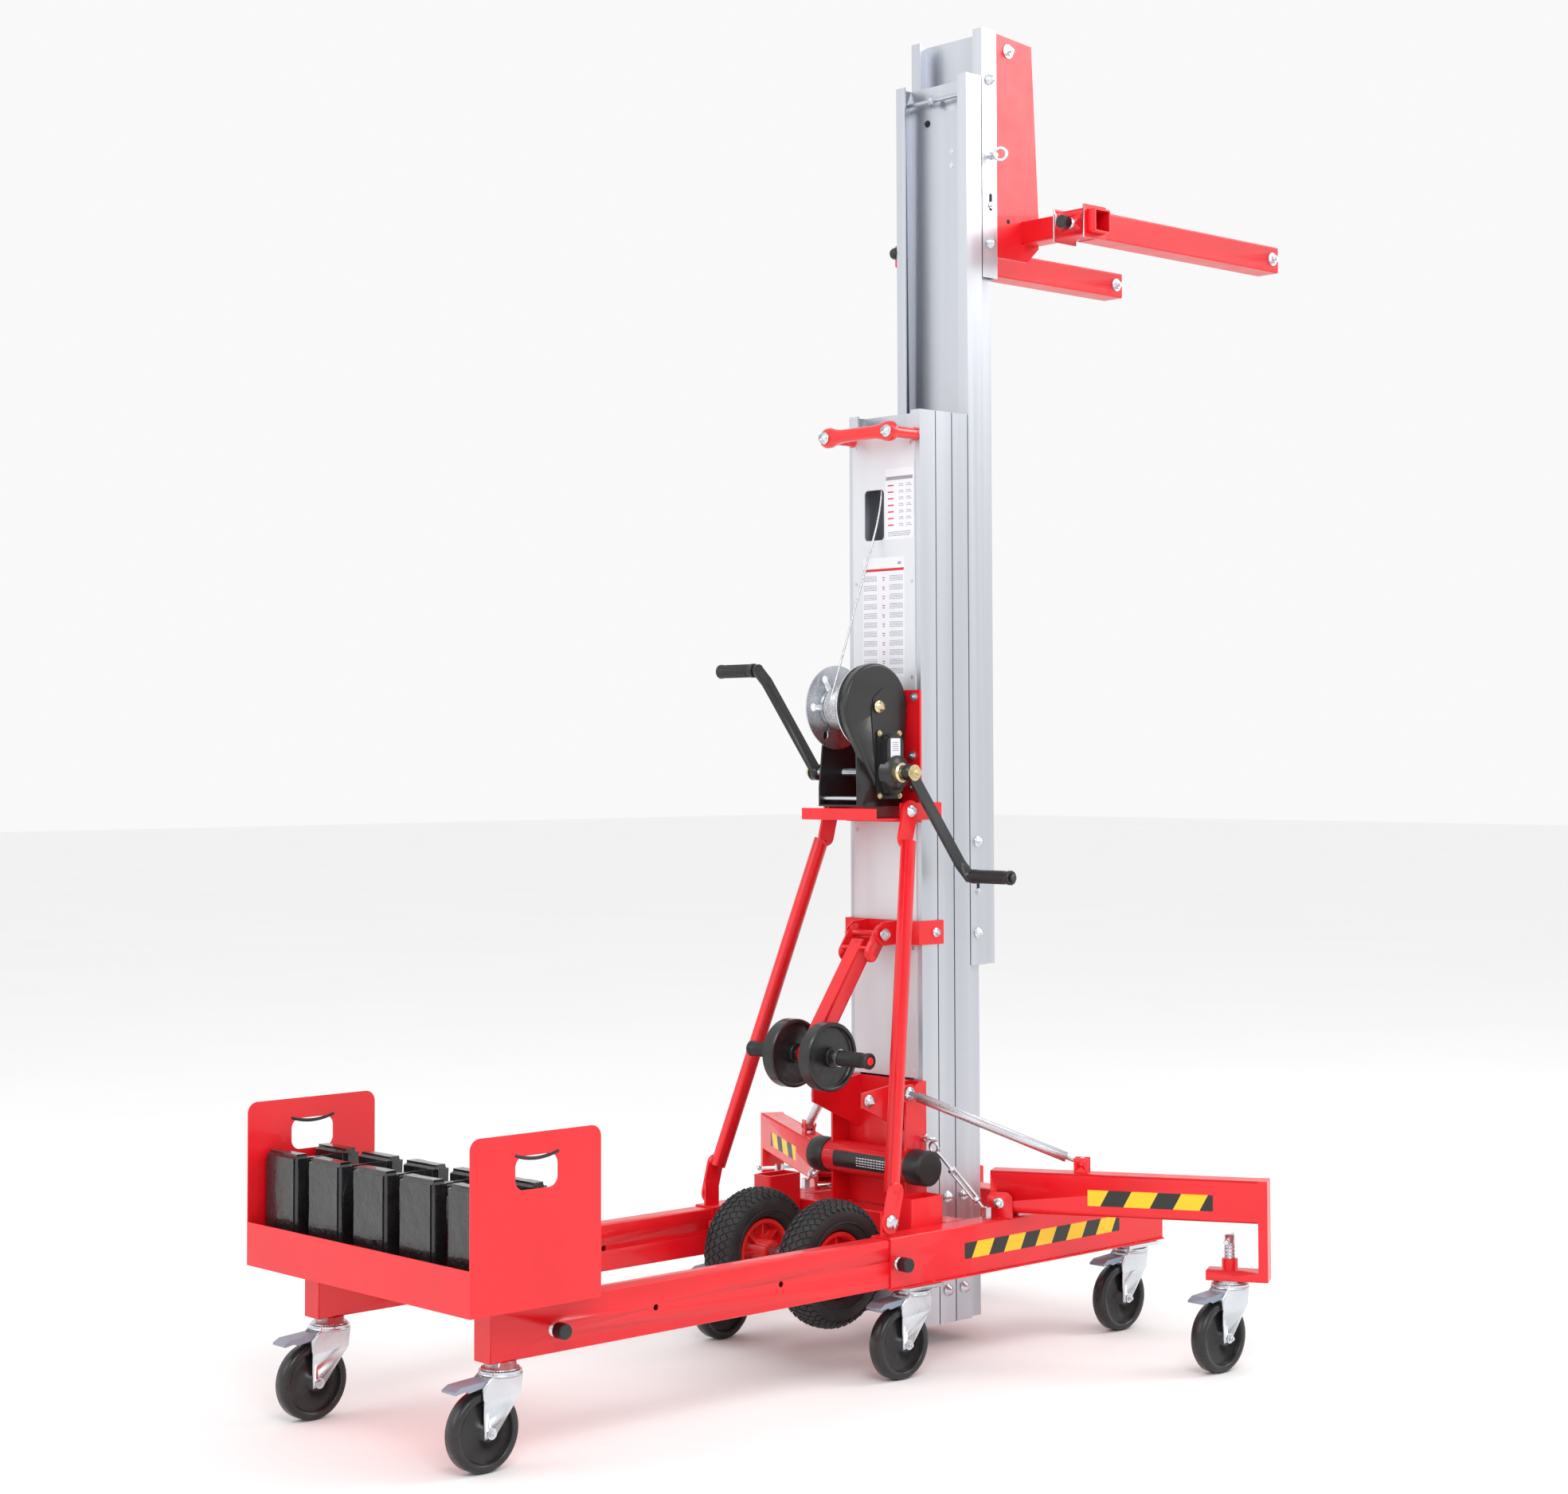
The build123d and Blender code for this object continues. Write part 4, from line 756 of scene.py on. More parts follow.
@dataclass
class Bumper:
    """Tube across the mast socket with rubber caps and a generic label."""

    centre: tuple[float, float] = (-46.0, 405.0)
    radius: float = 36.0
    half: float = 150.0

    def build(self) -> None:
        """Makes the caps, and shares the tube's faces between paint and rubber."""
        reclad("bumper_tube", RED, (BLACK, lambda p: abs(p.y) > self.half * MM))
        x, z = self.centre
        for name, side in SIDES.items():
            r = self.radius + 3.2
            cap = [(0, -22), (r - 1.2, -22), (r, -20), (r, 18), (r - 2, 23), (r - 6, 26.5), (0, 28)]
            place = standing(at(x, side * self.half, z), Vector((0, side, 0)))
            finished(f"bumper_cap_{name}", turned(cap, place), "base", BLACK)
        shape = bmesh.new()
        rows = []
        for k in range(13):
            angle = math.radians(150 + 60 * k / 12)
            for r in (self.radius + 0.1, self.radius + 0.5):
                rows.append([shape.verts.new(at(x + r * math.cos(angle), y, z + r * math.sin(angle)))
                             for y in (-92, 92)])
        for k in range(12):
            inner, outer, inner_next, outer_next = rows[2 * k:2 * k + 4]
            shape.faces.new((outer[0], outer[1], outer_next[1], outer_next[0]))
            shape.faces.new((inner[0], inner_next[0], inner_next[1], inner[1]))
            for end in (0, 1):
                shape.faces.new((inner[end], outer[end], outer_next[end], inner_next[end]))
        for near in (rows[:2], rows[-2:]):
            shape.faces.new((near[0][0], near[0][1], near[1][1], near[1][0]))
        finished("bumper_label", from_shape(shape), "base", SATIN)
        spots = []
        for row in range(4):
            angle = math.radians(168 + 9 * row)
            out = Vector((math.cos(angle), 0, math.sin(angle)))
            for k in range(11):
                place = at(x, 14 - 9 * k, z) + out * (self.radius + 0.6) * MM
                size = Vector((0.0055 + 0.001 * (k % 3), 0.0022, 0.0002))
                spots.append(Spot(place, out, LEFT, size))
        finished("bumper_label_print", blocks(spots, PAPER), "base", PAPER)


@dataclass
class Casters:
    """Swivel casters with zinc yokes, grey pedals and black wheels."""

    places: tuple[str, ...] = ("rear", "middle", "front", "outrigger")

    def dress(self) -> None:
        """Shares each yoke's faces between zinc and pedal, and rounds the wheels' shading."""
        for place in self.places:
            for name in SIDES:
                yoke = f"{place}_caster_yoke_{name}"
                low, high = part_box(yoke)
                swivel = Vector((high.x - 0.040, (low.y + high.y) / 2, 0))

                def pedal(p: Vector, s: Vector = swivel) -> bool:
                    return p.x < s.x - 0.0455 and p.z > 0.1525 and abs(p.y - s.y) < 0.0208

                reclad(yoke, ZINC, (PEDAL, pedal))
                reclad(f"{place}_caster_wheel_{name}", WHEEL_BLACK)
                self.race(place, name, swivel)

    def race(self, place: str, name: str, swivel: Vector) -> None:
        """Rolled rim of the ball race and the axle nuts, which ride on the yoke."""
        body = BODY_OF[f"{place}_caster_yoke_{name}"]
        spots = [Spot(swivel + UP * 0.1755, UP, FORWARD)]
        rim = rings(spots, ZINC, 39.0, 2.6)
        nuts = fasteners([Spot(swivel + Vector((-0.042, side * 0.0300, 0.075)), Vector((0, side, 0)))
                          for side in (1, -1)], ZINC, 7.0)
        finished(f"{place}_caster_race_{name}", joined(rim, nuts), body, ZINC)


@dataclass
class RoadWheels:
    """Pneumatic wheels with a block tread and red rims."""

    centre: tuple[float, float, float] = (-290.0, 116.0, 223.5)
    radius: float = 136.0
    half_width: float = 39.5
    seat: float = 101.0
    tread: float = 2.6
    rows: int = 7
    around: int = 46

    def section(self, angle: float, grow: float = 0.0) -> tuple[float, float]:
        """Radius and offset of the carcass at an angle round its section, in millimetres."""
        def eased_power(value: float) -> float:
            return math.copysign(abs(value) ** 0.82, value)

        depth = self.radius - self.tread - self.seat + grow
        width = self.half_width + grow
        return self.seat + depth * eased_power(math.cos(angle)), width * eased_power(math.sin(angle))

    def build(self) -> None:
        """Makes both tyres with their tread."""
        for name, side in SIDES.items():
            x, y, z = self.centre
            centre = at(x, side * y, z)
            profile = [self.section(math.tau * k / 40) for k in range(40)]
            carcass = turned(profile, standing(centre, LEFT), 72, ring=True)
            body = BODY_OF[f"tyre_{name}"]
            tread = blocks(self.tread_spots(centre), RUBBER)
            bands = rings([Spot(centre + LEFT * s * 0.04, LEFT) for s in (-1, 1)], RUBBER, 92.0, 1.6)
            finished(f"tyre_tread_{name}", joined(carcass, tread, bands), body, RUBBER, (f"tyre_{name}",))
            reclad(f"rim_{name}", RED_PLASTIC,
                   (ZINC, lambda p, c=centre: math.hypot(p.x - c.x, p.z - c.z) < 0.0105))
            self.hub(name, side, centre, body)

    def tread_spots(self, centre: Vector) -> list[Spot]:
        """Diamond blocks in rows across the crown and shoulders."""
        spots = []
        for row in range(self.rows):
            slant = (row - (self.rows - 1) / 2) * 0.31
            radius, offset = self.section(slant, self.tread * 0.3)
            for k in range(self.around):
                turn = math.tau * (k + 0.5 * (row % 2)) / self.around
                spoke = Vector((math.cos(turn), 0, math.sin(turn)))
                round_it = Vector((-math.sin(turn), 0, math.cos(turn)))
                place = centre + spoke * radius * MM + Vector((0, offset * MM, 0))
                out = (spoke * math.cos(slant) + Vector((0, math.sin(slant), 0))).normalized()
                flat = out.cross(round_it)
                spots.append(Spot(place, out, (round_it * 1.2 + flat).normalized(),
                                  Vector((0.0118, 0.0108, 0.0036))))
        return spots

    def hub(self, name: str, side: int, centre: Vector, body: str) -> None:
        """Zinc collar and red bearing cone on the outside of a wheel."""
        place = standing(centre, Vector((0, side, 0)))
        collar = turned([(11, 44), (20, 44), (20, 50), (18, 52), (11, 52)], place, 32, ring=True)
        finished(f"hub_collar_{name}", collar, body, ZINC)
        cone = turned([(11, 20), (30, 20), (30, 26), (24, 42), (11, 42)], place, 32, ring=True)
        finished(f"hub_cone_{name}", cone, body, RED_PLASTIC)


@dataclass
class Tray:
    """Weight tray on the telescopic beams, with five cast weights."""

    rear: float = -1433.4
    depth: float = 302.3
    half_width: float = 369.2
    hole_x: float = -1282.2
    hole_top: float = 585.0
    floor: float = 305.9
    weight_pitch: float = 152.0
    weight_count: int = 5

    def dress(self) -> None:
        """Finishes the tray and the beams that carry it."""
        paint(RED, "tray")
        reclad("extension_beams", RED, (ZINC, lambda p: p.z < 0.1975),
               (BLACK, lambda p: abs(p.y) > 0.3165 and p.x < MAST_REAR - 1.0),
               (ZINC, lambda p: abs(p.y) > 0.3052 and p.x < MAST_REAR - 1.0))

    def build(self) -> None:
        """Makes the hand hole trims and the weights."""
        for name, side in SIDES.items():
            wall = side * (self.half_width - 1.5)
            sag = [at(self.hole_x + 50 * t, wall, self.hole_top - 1 - 9 * (1 - t * t))
                   for t in (-1, -0.75, -0.4, 0, 0.4, 0.75, 1)]
            finished(f"tray_hole_trim_{name}", swept(sag, 3.4, smooth=True), "rear_extension", BLACK)
        meshes = []
        for k in range(self.weight_count):
            y = self.weight_pitch * (k - (self.weight_count - 1) / 2)
            for n, x in enumerate((self.rear + 53, self.rear + 168)):
                middle = Vector((x, y, self.floor + 111.3))
                meshes.append(self.casting(middle, Vector((40, 113, 222)), 2 * k + n))
            middle = Vector((self.rear + 110.5, y, self.floor + 194))
            meshes.append(self.casting(middle, Vector((104, 26, 26)), 20 + k))
        finished("cast_weights", joined(*meshes), "counterweight_set", CAST, ("counterweights",))

    def casting(self, centre: Vector, size: Vector, seed: int) -> bpy.types.Mesh:
        """Rounded block with an uneven cast skin that stays inside its size, in millimetres."""
        shape = bmesh.new()
        bmesh.ops.create_cube(shape, size=1.0, matrix=Matrix.Diagonal((*(size * MM), 1.0)))
        bmesh.ops.bevel(shape, geom=shape.edges[:], offset=min(size) * 0.2 * MM, segments=3, affect="EDGES",
                        clamp_overlap=True)
        bmesh.ops.subdivide_edges(shape, edges=[e for e in shape.edges if e.calc_length() > 0.03], cuts=9,
                                  use_grid_fill=True)
        bmesh.ops.triangulate(shape, faces=[f for f in shape.faces if len(f.verts) > 4])
        for vert in shape.verts:
            wave = noise.fractal(vert.co * 26 + Vector((seed, 0, 0)), 0.6, 2.1, 4)
            vert.co -= vert.normal * (0.0006 + 0.0011 * (wave + 0.5))
        return from_shape(shape, Matrix.Translation(at(*centre)))


@dataclass
class Mast:
    """Telescopic aluminium mast, its cover, labels, carriage and carrying handle."""

    pitch: float = 53.0
    side: float = 112.3
    cover_face: float = -3.0

    def dress(self) -> None:
        """Finishes the sections: drawn aluminium with zinc bolts and red stops."""
        limit = (self.side + 0.02) * MM
        for number in range(1, 5):
            front = MAST_REAR + (self.pitch * (number - 1) + 50.3) * MM

            def stop(p: Vector, x: float = front) -> bool:
                return p.x > x and abs(p.y) < 0.0485

            reclad(f"mast_section_{number}", ALUMINIUM, (ZINC, lambda p: abs(p.y) > limit), (GLOSS_RED, stop))
        reclad("carriage", ALUMINIUM, (ZINC, lambda p: abs(p.y) > limit))
        paint(SHEET, "mast_cover")
        paint(ROPE, "lift_rope")

    def build(self) -> None:
        """Makes everything that is fixed to the mast."""
        self.cover()
        self.carriage()
        self.front_section()
        self.handle()

    def cover(self) -> None:
        """Screws and two printed films on the rear cover."""
        heights = (610, 880, 1140, 1485, 1700, 2012)
        spots = [Spot(at(self.cover_face, y, z), BACK, UP, Vector((1, 1, 0.5)))
                 for y in (-88, 88) for z in heights]
        finished("cover_screws", fasteners(spots, ZINC, 3.2, stud=False), "base", ZINC)
        upper = Label(at(self.cover_face, -51, 1877), BACK, 88, 160)
        lower = Label(at(self.cover_face, 0, 1621), BACK, 132, 272)
        ink, red = [], []
        ink.append(upper.bar(0, 58, 84, 8))
        for row in range(7):
            up = 42 - 15 * row
            red.append(upper.bar(-27, up, 18, 3))
            ink += upper.lines(6, up + 2, 14, 2, 4) + upper.lines(30, up + 2, 16, 2, 4)
        ink += upper.lines(0, -64, 72, 3, 4)
        red.append(lower.bar(0, 108, 128, 6))
        for row in range(11):
            up = 94 - 21 * row
            ink += lower.lines(-41, up, 44, 4, 3.4) + lower.lines(41, up, 44, 4, 3.4)
            red.append(lower.bar(0, up - 4, 8, 2))
            ink.append(lower.bar(0, up - 9, 6, 3))
        ink.append(lower.bar(50, 122, 10, 6))
        finished("cover_labels", joined(upper.film(), lower.film()), "base", PAPER)
        red.append(lower.bar(-30, -158, 44, 3.5))
        finished("cover_label_print", blocks(ink, INK), "base", INK)
        finished("cover_label_red_print", blocks(red, RED_INK), "base", RED_INK)

    def carriage(self) -> None:
        """Eye bolt and slotted adjusters on the carriage; each slot is a near-black film of painted shade."""
        for name, side in SIDES.items():
            out = Vector((0, side, 0))
            foot = at(246, side * self.side, 2694)
            ring = swept(circle(foot + out * 0.026, Vector((-0.7, side * 0.7, 0)), 14.0), 4.2, closed=True)
            shank = turned([(0, 0), (9, 0), (9, 4), (5, 6), (5, 14), (0, 14)], standing(foot, out), 20)
            finished(f"eye_bolt_{name}", joined(ring, shank), "lift_carriage", ZINC)
            for part, body, x, z, bolt_z in (("carriage", "lift_carriage", 240, 2585, 2578),
                                             ("section", "section_4", 184, 1017, 1000)):
                # Near-black film on the slot: painted shade of the opening.
                slot = slab(rounded(40, 9, 4.4), 0.4, standing(at(x, side * self.side, z), out, UP))
                finished(f"{part}_slot_{name}", slot, body, PAINTED_HOLE_SHADE)
                bolts = [Spot(at(x, side * (self.side + 0.4), bolt_z), out)]
                finished(f"{part}_slot_bolt_{name}", fasteners(bolts, ZINC, 5.0), body, ZINC)

    def front_section(self) -> None:
        """Rubber knob and small screws on the raised section."""
        knob = [(0, 0), (9, 0), (9, 3), (13, 6), (14, 13), (12, 19), (8, 22), (0, 23)]
        place = standing(at(166, self.side, 2488), LEFT)
        finished("section_knob", turned(knob, place, 32), "section_4", BLACK)
        web = 3 * self.pitch + 46 - 0.1
        bolts = [Spot(at(web, 54, 2790), BACK)]
        finished("section_web_bolt", fasteners(bolts, BLACK, 5.5), "section_4", BLACK)
        screws = [Spot(at(web, -23, z), BACK, UP, Vector((1, 1, 0.4))) for z in (2680, 2713)]
        finished("section_web_screws", fasteners(screws, ZINC, 4.5, stud=False), "section_4", ZINC)

    def handle(self) -> None:
        """Cast carrying handle: a waisted bar across the mast on two round standoffs."""
        def squarish(value: float) -> float:
            return math.copysign(abs(value) ** 0.7, value)

        z, steps = 2030.0, 36
        shape = bmesh.new()
        rows = []
        for k in range(steps + 1):
            t = -1 + 2 * k / steps
            y = 121 * t
            reach = max(0.0, 1 - max(0.0, (abs(y) - 99) / 22.2) ** 2) ** 0.5
            waist = 15 + 8 * min(1.0, max(0.0, (abs(y) - 46) / 42)) ** 2
            tall, deep = waist * max(reach, 0.02), 11.5 * max(reach, 0.02) ** 0.5
            rise = z + 2 * (1 - t * t)
            rows.append([shape.verts.new(at(-80 + deep * squarish(math.cos(a)), y,
                                            rise + tall * squarish(math.sin(a))))
                         for a in (math.tau * n / 20 for n in range(20))])
        for low, high in zip(rows, rows[1:]):
            for n in range(20):
                shape.faces.new((low[n], low[(n + 1) % 20], high[(n + 1) % 20], high[n]))
        shape.faces.new(rows[0])
        shape.faces.new(rows[-1])
        parts = [from_shape(shape)]
        for side in SIDES.values():
            off = [(0, 0), (13, 0), (13, 66), (15, 67), (15, 70), (0, 70)]
            parts.append(turned(off, standing(at(-72, side * 99, z), FORWARD), 32))
        finished("carrying_handle", joined(*parts), "base", GLOSS_RED, ("top_handle",))


@dataclass
class Winch:
    """Hand winch with its drum, rope windings, brake cover, crank and grips."""

    drum: tuple[float, float] = (-107.0, 1417.0)
    shaft: tuple[float, float] = (-72.0, 1271.0)
    drum_radius: float = 45.0
    rope: float = 2.5
    grip_radius: float = 16.0
    grip_length: float = 118.0

    def dress(self) -> None:
        """Finishes the CAD nodes of the winch."""
        reclad("winch_housing", SATIN)
        reclad("winch_drum", ZINC, (YELLOW_ZINC, lambda p: abs(p.y) > 0.087))
        shaft = at(self.shaft[0], 0, self.shaft[1])
        reclad("crank", SATIN,
               (ZINC, lambda p: math.hypot(p.x - shaft.x, p.z - shaft.z) < 0.0095 and abs(p.y) < 0.128))

    def build(self) -> None:
        """Makes the windings, cover, label, nuts and grips."""
        turns = 16
        start = at(self.drum[0], -40, self.drum[1])
        windings = helix(Spot(start, LEFT, FORWARD), ROPE, self.drum_radius + self.rope, self.rope,
                         float(turns), 5.0 * turns)
        finished("drum_windings", windings, "drum", ROPE)
        self.brake_cover()
        for name, side in SIDES.items():
            low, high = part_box(f"crank_grip_{name}")
            middle = (low + high) / 2
            inner = Vector((middle.x, low.y if side > 0 else high.y, middle.z))
            Grip(inner, Vector((0, side, 0)), self.grip_length, self.grip_radius).build(
                f"crank_grip_ribbed_{name}", BODY_OF[f"crank_grip_{name}"], (f"crank_grip_{name}",))

    def brake_cover(self) -> None:
        """Moulded brake housing on the gear cover, with screws, a plain label and hub nuts."""
        place = standing(at(-76, -83.7, 1289), RIGHT, UP)
        base = slab(rounded(152, 74, 8), 4.0, place, 1.0)
        body = slab(rounded(138, 58, 24), 23.0, place, 3.5)
        finished("brake_cover", joined(base, body), "base", SATIN)
        spots = [Spot(at(-76 + x, -87.7, 1289 + z), RIGHT) for x in (-31, 31) for z in (-69, 69)]
        finished("brake_cover_screws", fasteners(spots, YELLOW_ZINC, 4.5), "base", YELLOW_ZINC)
        film = Label(at(-76, -106.8, 1324), RIGHT, 30, 46)
        finished("winch_label", film.film(), "base", PAPER)
        print_ = [film.bar(0, 14 - 4.5 * k, 20 - 3 * (k % 2), 1.6) for k in range(5)]
        finished("winch_label_print", blocks(print_, INK), "base", INK)
        x, z = self.shaft
        for name, side in SIDES.items():
            out = Vector((0, side, 0))
            spots = [Spot(at(x, side * 160.0, z), out)]
            finished(f"crank_nut_{name}", fasteners(spots, YELLOW_ZINC, 12.0), "crank_set", YELLOW_ZINC)
        corners = ((-36, 1215), (-36, 1458), (-92, 1458), (-122, 1436), (-127, 1405), (-112, 1215))
        outline = [(z - 1289, -x - 76) for x, z in corners]
        plate = slab(outline, 1.6, standing(at(-76, -82.1, 1289), RIGHT, UP), 0.4)
        finished("gear_plate", plate, "base", SATIN)
        rod = turned([(0, 0), (5, 0), (5, 115), (0, 115)], standing(at(-138, -57.5, 1214), -RIGHT), 20)
        finished("winch_tie_rod", rod, "base", ZINC)
        spots = [Spot(at(-9, y, z), BACK) for y, z in ((-100, 1440), (-94, 1309), (-94, 1239), (100, 1440))]
        finished("winch_bracket_screws", fasteners(spots, ZINC, 7.0), "base", ZINC)
        x, z = self.shaft
        collar = turned([(10, 0), (22, 0), (22, 14), (18, 18), (10, 18)],
                        standing(at(x, -110.6, z), RIGHT), 32, ring=True)
        finished("brake_hub", collar, "crank_set", YELLOW_ZINC)


@dataclass
class LoadingArm:
    """Folding arm with two rollers and ribbed grips."""

    axle: tuple[float, float] = (-240.0, 655.0)
    roller_y: float = 57.0
    grip_start: float = 97.0
    grip_length: float = 92.0

    def dress(self) -> None:
        """Finishes the arm and its rollers."""
        axle = at(self.axle[0], 0, self.axle[1])
        pivot = at(-60, 0, 911)

        def metal(p: Vector) -> bool:
            near_axle = math.hypot(p.x - axle.x, p.z - axle.z) < 0.0155 and abs(p.y) > 0.021
            return near_axle or (math.hypot(p.x - pivot.x, p.z - pivot.z) < 0.009 and abs(p.y) > 0.0435)

        reclad("loading_arm", RED, (ZINC, metal))

    def build(self) -> None:
        """Makes the rollers, the grips with their washers and red end plugs, and the pivot nuts."""
        x, z = self.axle
        half = [(9.1, 20), (21, 20), (22, 19), (22, 7), (63, 7), (66, 10), (66, 16), (67.5, 17), (72, 17),
                (75, 14)]
        section = [(r, -h) for r, h in half] + half[::-1]
        rollers = [turned(section, standing(at(x, side * self.roller_y, z), LEFT), 72, ring=True)
                   for side in SIDES.values()]
        finished("rollers_dished", joined(*rollers), "rollers", WHEEL_BLACK, ("loading_rollers",))
        for name, side in SIDES.items():
            out = Vector((0, side, 0))
            Grip(at(x, side * self.grip_start, z), out, self.grip_length, 17.5).build(
                f"arm_grip_{name}", "loading_frame")
            plug = turned([(0, -3), (9, -3), (9, 0.6), (8, 1.2), (0, 1.2)],
                          standing(at(x, side * (self.grip_start + self.grip_length - 1), z), out), 32)
            finished(f"arm_grip_plug_{name}", plug, "loading_frame", RED_PLASTIC)
            washer = turned([(10, 0), (19, 0), (19, 3), (10, 3)],
                            standing(at(x, side * (self.grip_start - 4), z), out), 32, ring=True)
            finished(f"arm_washer_{name}", washer, "loading_frame", ZINC)
            spots = [Spot(at(-60, side * 56, 911), out)]
            finished(f"arm_pivot_nut_{name}", fasteners(spots, ZINC, 9.0), "loading_frame", ZINC)


@dataclass
class Forks:
    """Load forks with sliding sleeves on a crossbar under a red bracket."""

    fork_y: float = 250.0
    tip: float = 1105.0
    height: float = 2532.0

    def dress(self) -> None:
        """Makes the clamping bolts at the fork tips, the bracket bolts, and near-black films of painted shade
        in the bracket holes.
        """
        paint(RED, "fork_bracket", "fork_crossbar")
        rear = MAST_REAR + (392 - 35.8) * MM
        for name in SIDES:
            reclad(f"fork_{name}", RED, (BLACK, lambda p: p.x < rear - 0.0125),
                   (ZINC, lambda p: p.x < rear - 0.0001))

    def build(self) -> None:
        """Makes the clamping bolts at the fork tips and the bracket bolts."""
        for name, side in SIDES.items():
            out = Vector((0, side, 0))
            spots = [Spot(at(self.tip - 24, side * (self.fork_y + 32), self.height), out)]
            finished(f"fork_tip_bolt_{name}", fasteners(spots, ZINC, 11.0), BODY_OF[f"fork_{name}"], ZINC)
            inner = [Spot(at(self.tip - 24, side * (self.fork_y - 32), self.height), out * -1)]
            finished(f"fork_tip_nut_{name}", fasteners(inner, ZINC, 11.0), BODY_OF[f"fork_{name}"], ZINC)
            top = [Spot(at(319, side * 96, 2953), out)]
            finished(f"bracket_bolt_{name}", fasteners(top, ZINC, 11.0), "lift_carriage", ZINC)
            # Near-black film on the bracket hole: painted shade of the opening.
            hole = slab(rounded(11, 11, 5.4), 0.3, standing(at(318, side * 96, 2552), out))
            finished(f"bracket_hole_shade_{name}", hole, "lift_carriage", PAINTED_HOLE_SHADE)


@dataclass
class Outriggers:
    """Folding outriggers with tapes, threaded jacks, stays and turnbuckle ties."""

    root: tuple[float, float, float] = (78.0, 276.0, 334.0)
    angle: float = 60.0
    tube: tuple[float, float] = (56.0, 90.0)
    length: float = 560.0
    tape_run: tuple[float, float] = (195.0, 465.0)
    tape_height: float = 34.0

    def arm(self, side: int) -> Vector:
        """Direction of an arm from its pivot."""
        turn = math.radians(self.angle)
        return Vector((math.cos(turn), side * math.sin(turn), 0))

    def dress(self) -> None:
        """Finishes the arms, stays and jacks."""
        for name in SIDES:
            reclad(f"outrigger_{name}", RED)
            reclad(f"stay_rod_{name}", ZINC)
            reclad(f"jack_screw_{name}", ZINC)

    def build(self) -> None:
        """Makes the tapes, threads and ties."""
        x, y, z = self.root
        for name, side in SIDES.items():
            arm = self.arm(side)
            rearward = Vector((-arm.y, arm.x, 0)) * side
            pivot = at(x, side * y, z)
            start, end = self.tape_run
            middle = pivot + arm * (start + end) / 2 * MM + UP * 19 * MM
            face = standing(middle + rearward * self.tube[0] / 2 * MM, rearward, UP)
            lean = -0.54
            zero = (pivot + arm * (start + 33) * MM).dot(arm) + lean * (z + 19) * MM
            tape = Stripes(f"hazard_tape_arm_{name}", *TAPE_SIZE, Relief.PEEL, "black_plastic", (0.34, 0.46),
                           along=(arm.x, arm.y, lean), pitch=0.107, start=zero - 0.0535)
            finished(f"arm_tape_{name}", slab(rounded(self.tape_height, end - start, 1.0, 2), 0.3, face),
                     BODY_OF[f"outrigger_{name}"], tape)
            screw = pivot + arm * (self.length - 84 + 20) * MM
            screw.z = 0
            thread = helix(Spot(screw + UP * 0.2345, UP, FORWARD), ZINC, 10.6, 1.5, 9.0, 34.0)
            finished(f"jack_thread_{name}", thread, BODY_OF[f"jack_screw_{name}"], ZINC)
            knobs = turned([(0, 0), (5, 0), (6, 2), (6, 6), (5, 8), (0, 8)], standing(
                screw + UP * 0.276 + rearward * 0.048, rearward), 16)
            finished(f"jack_bar_end_{name}", knobs, BODY_OF[f"jack_screw_{name}"], ZINC)
        self.ties()

    def ties(self) -> None:
        """Turnbuckle ties between the mast socket and the side beams."""
        meshes = []
        for side in SIDES.values():
            top = at(-2, side * 121.7, 463)
            foot = at(18, side * 285, 318)
            line = foot - top
            way = line.normalized()
            across = way.cross(FORWARD).normalized()
            out = Vector((0, side, 0))
            meshes.append(turned([(0, -3), (9, -3), (9, 4), (5, 6), (0, 6)], standing(top, out), 20))
            meshes.append(swept(circle(top + out * 0.017, Vector((0.2, 0, 1)), 12), 3.6, closed=True))
            link = circle(top + line * 0.14 + UP * 0.002, Vector((1, 0, 0.1)), 12)
            meshes.append(swept(link, 3.2, closed=True))
            meshes.append(swept([top + line * 0.19, top + line * 0.46], 4.0))
            for offset in (-1, 1):
                shift = across * offset * 6.5 * MM
                meshes.append(swept([top + line * 0.43 + shift, top + line * 0.84 + shift], 3.2))
            for share in (0.42, 0.82):
                meshes.append(turned([(0, 0), (6, 0), (9.8, 2), (9.8, 10), (6, 12), (0, 12)],
                                     standing(top + line * share, way), 20))
            meshes.append(swept([top + line * 0.83, foot], 4.0))
            lug = standing(at(18, side * 278, 302), Vector((0, side, 0)), UP)
            meshes.append(slab([(0, -8), (26, -8), (26, 8), (0, 8)], 14, lug, 1.0))
        finished("turnbuckle_ties", joined(*meshes), "base", ZINC, ("turnbuckles",))


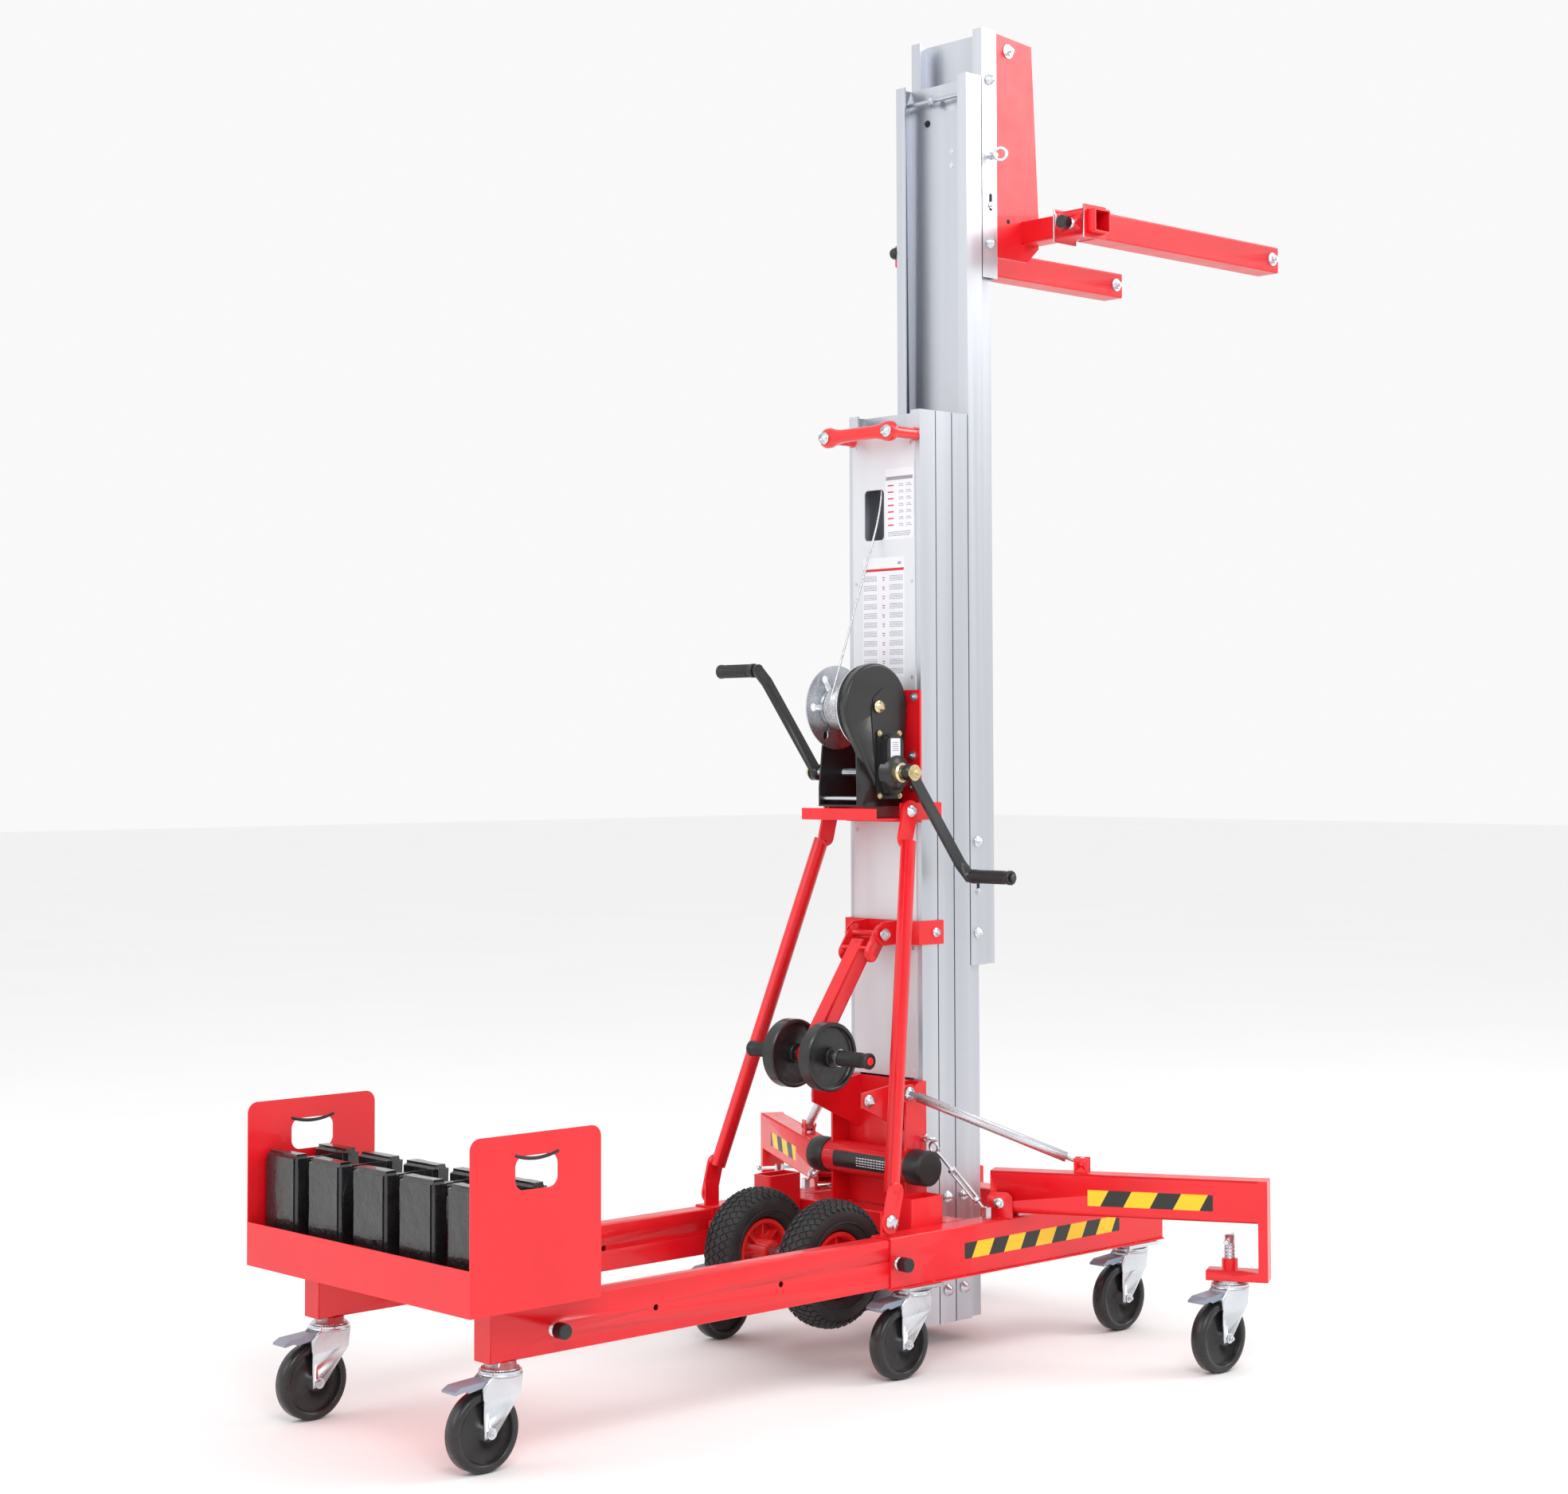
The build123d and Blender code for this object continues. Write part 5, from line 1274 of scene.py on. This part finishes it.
@dataclass
class Studio:
    """Pale floor, soft lights and the camera."""

    camera_place: tuple[float, float, float] = (-4.2432, -4.3679, 1.3107)
    yaw: float = 0.8177
    pitch: float = 0.043
    roll: float = -0.0029
    lens: float = 62.94
    shift: float = -0.0701

    def build(self) -> None:
        """Sets up the camera, floor, world and lights."""
        self.camera()
        self.floor()
        self.lights()

    def camera(self) -> None:
        """Camera that looks forwards and to the left at the machine from behind."""
        data = bpy.data.cameras.new("camera")
        data.sensor_width = 36.0
        data.lens = self.lens
        data.shift_y = self.shift
        obj = bpy.data.objects.new("camera", data)
        bpy.context.scene.collection.objects.link(obj)
        look = Vector((math.cos(self.pitch) * math.cos(self.yaw), math.cos(self.pitch) * math.sin(self.yaw),
                       math.sin(self.pitch)))
        right = Vector((math.sin(self.yaw), -math.cos(self.yaw), 0))
        up = right.cross(look)
        turn = Matrix((right, up, -look)).transposed().to_4x4()
        obj.matrix_world = Matrix.Translation(self.camera_place) @ turn @ Matrix.Rotation(self.roll, 4, "Z")
        bpy.context.scene.camera = obj

    def floor(self) -> None:
        """Plain pale floor."""
        mesh = bpy.data.meshes.new("floor")
        mesh.from_pydata([(-40, -40, 0), (40, -40, 0), (40, 40, 0), (-40, 40, 0)], [], [(0, 1, 2, 3)])
        finish = Finish("studio_floor", (0.93, 0.93, 0.93), (0.92, 0.92, 0.92), Relief.GRAIN, "black_plastic",
                        (0.8, 0.9), grain=60.0, mottle=1.0)
        mesh.materials.append(finish.material())
        obj = bpy.data.objects.new("floor", mesh)
        bpy.context.scene.collection.objects.link(obj)

    def lights(self) -> None:
        """White surround and three large soft lights."""
        bpy.context.scene.view_settings.view_transform = "Standard"
        world = bpy.data.worlds.new("studio")
        bpy.context.scene.world = world
        world.use_nodes = True
        back = world.node_tree.nodes["Background"]
        back.inputs["Color"].default_value = (1.0, 1.0, 1.0, 1.0)
        back.inputs["Strength"].default_value = 0.95
        for name, place, size, power in (("key", (-3.4, -4.4, 5.2), 3.0, 150.0),
                                         ("fill", (-5.5, 2.0, 3.4), 3.5, 60.0),
                                         ("rim", (3.8, -3.0, 4.6), 2.5, 90.0)):
            data = bpy.data.lights.new(name, "AREA")
            data.size = size
            data.energy = power
            lamp = bpy.data.objects.new(name, data)
            bpy.context.scene.collection.objects.link(lamp)
            lamp.location = place
            lamp.rotation_mode = "QUATERNION"
            lamp.rotation_quaternion = (Vector((0, 0, 1.2)) - Vector(place)).to_track_quat("-Z", "Y")


def main() -> None:
    """Builds the studio and every sub-assembly."""
    logging.basicConfig(level=logging.INFO, format="%(name)s: %(message)s")
    Studio().build()
    for part in (Base(), Bumper(), Casters(), RoadWheels(), Tray(), Mast(), Winch(), LoadingArm(), Forks(),
                 Outriggers()):
        log.info("building %s", type(part).__name__)
        if hasattr(part, "dress"):
            part.dress()
        if hasattr(part, "build"):
            part.build()


if __name__ == "__main__":
    main()
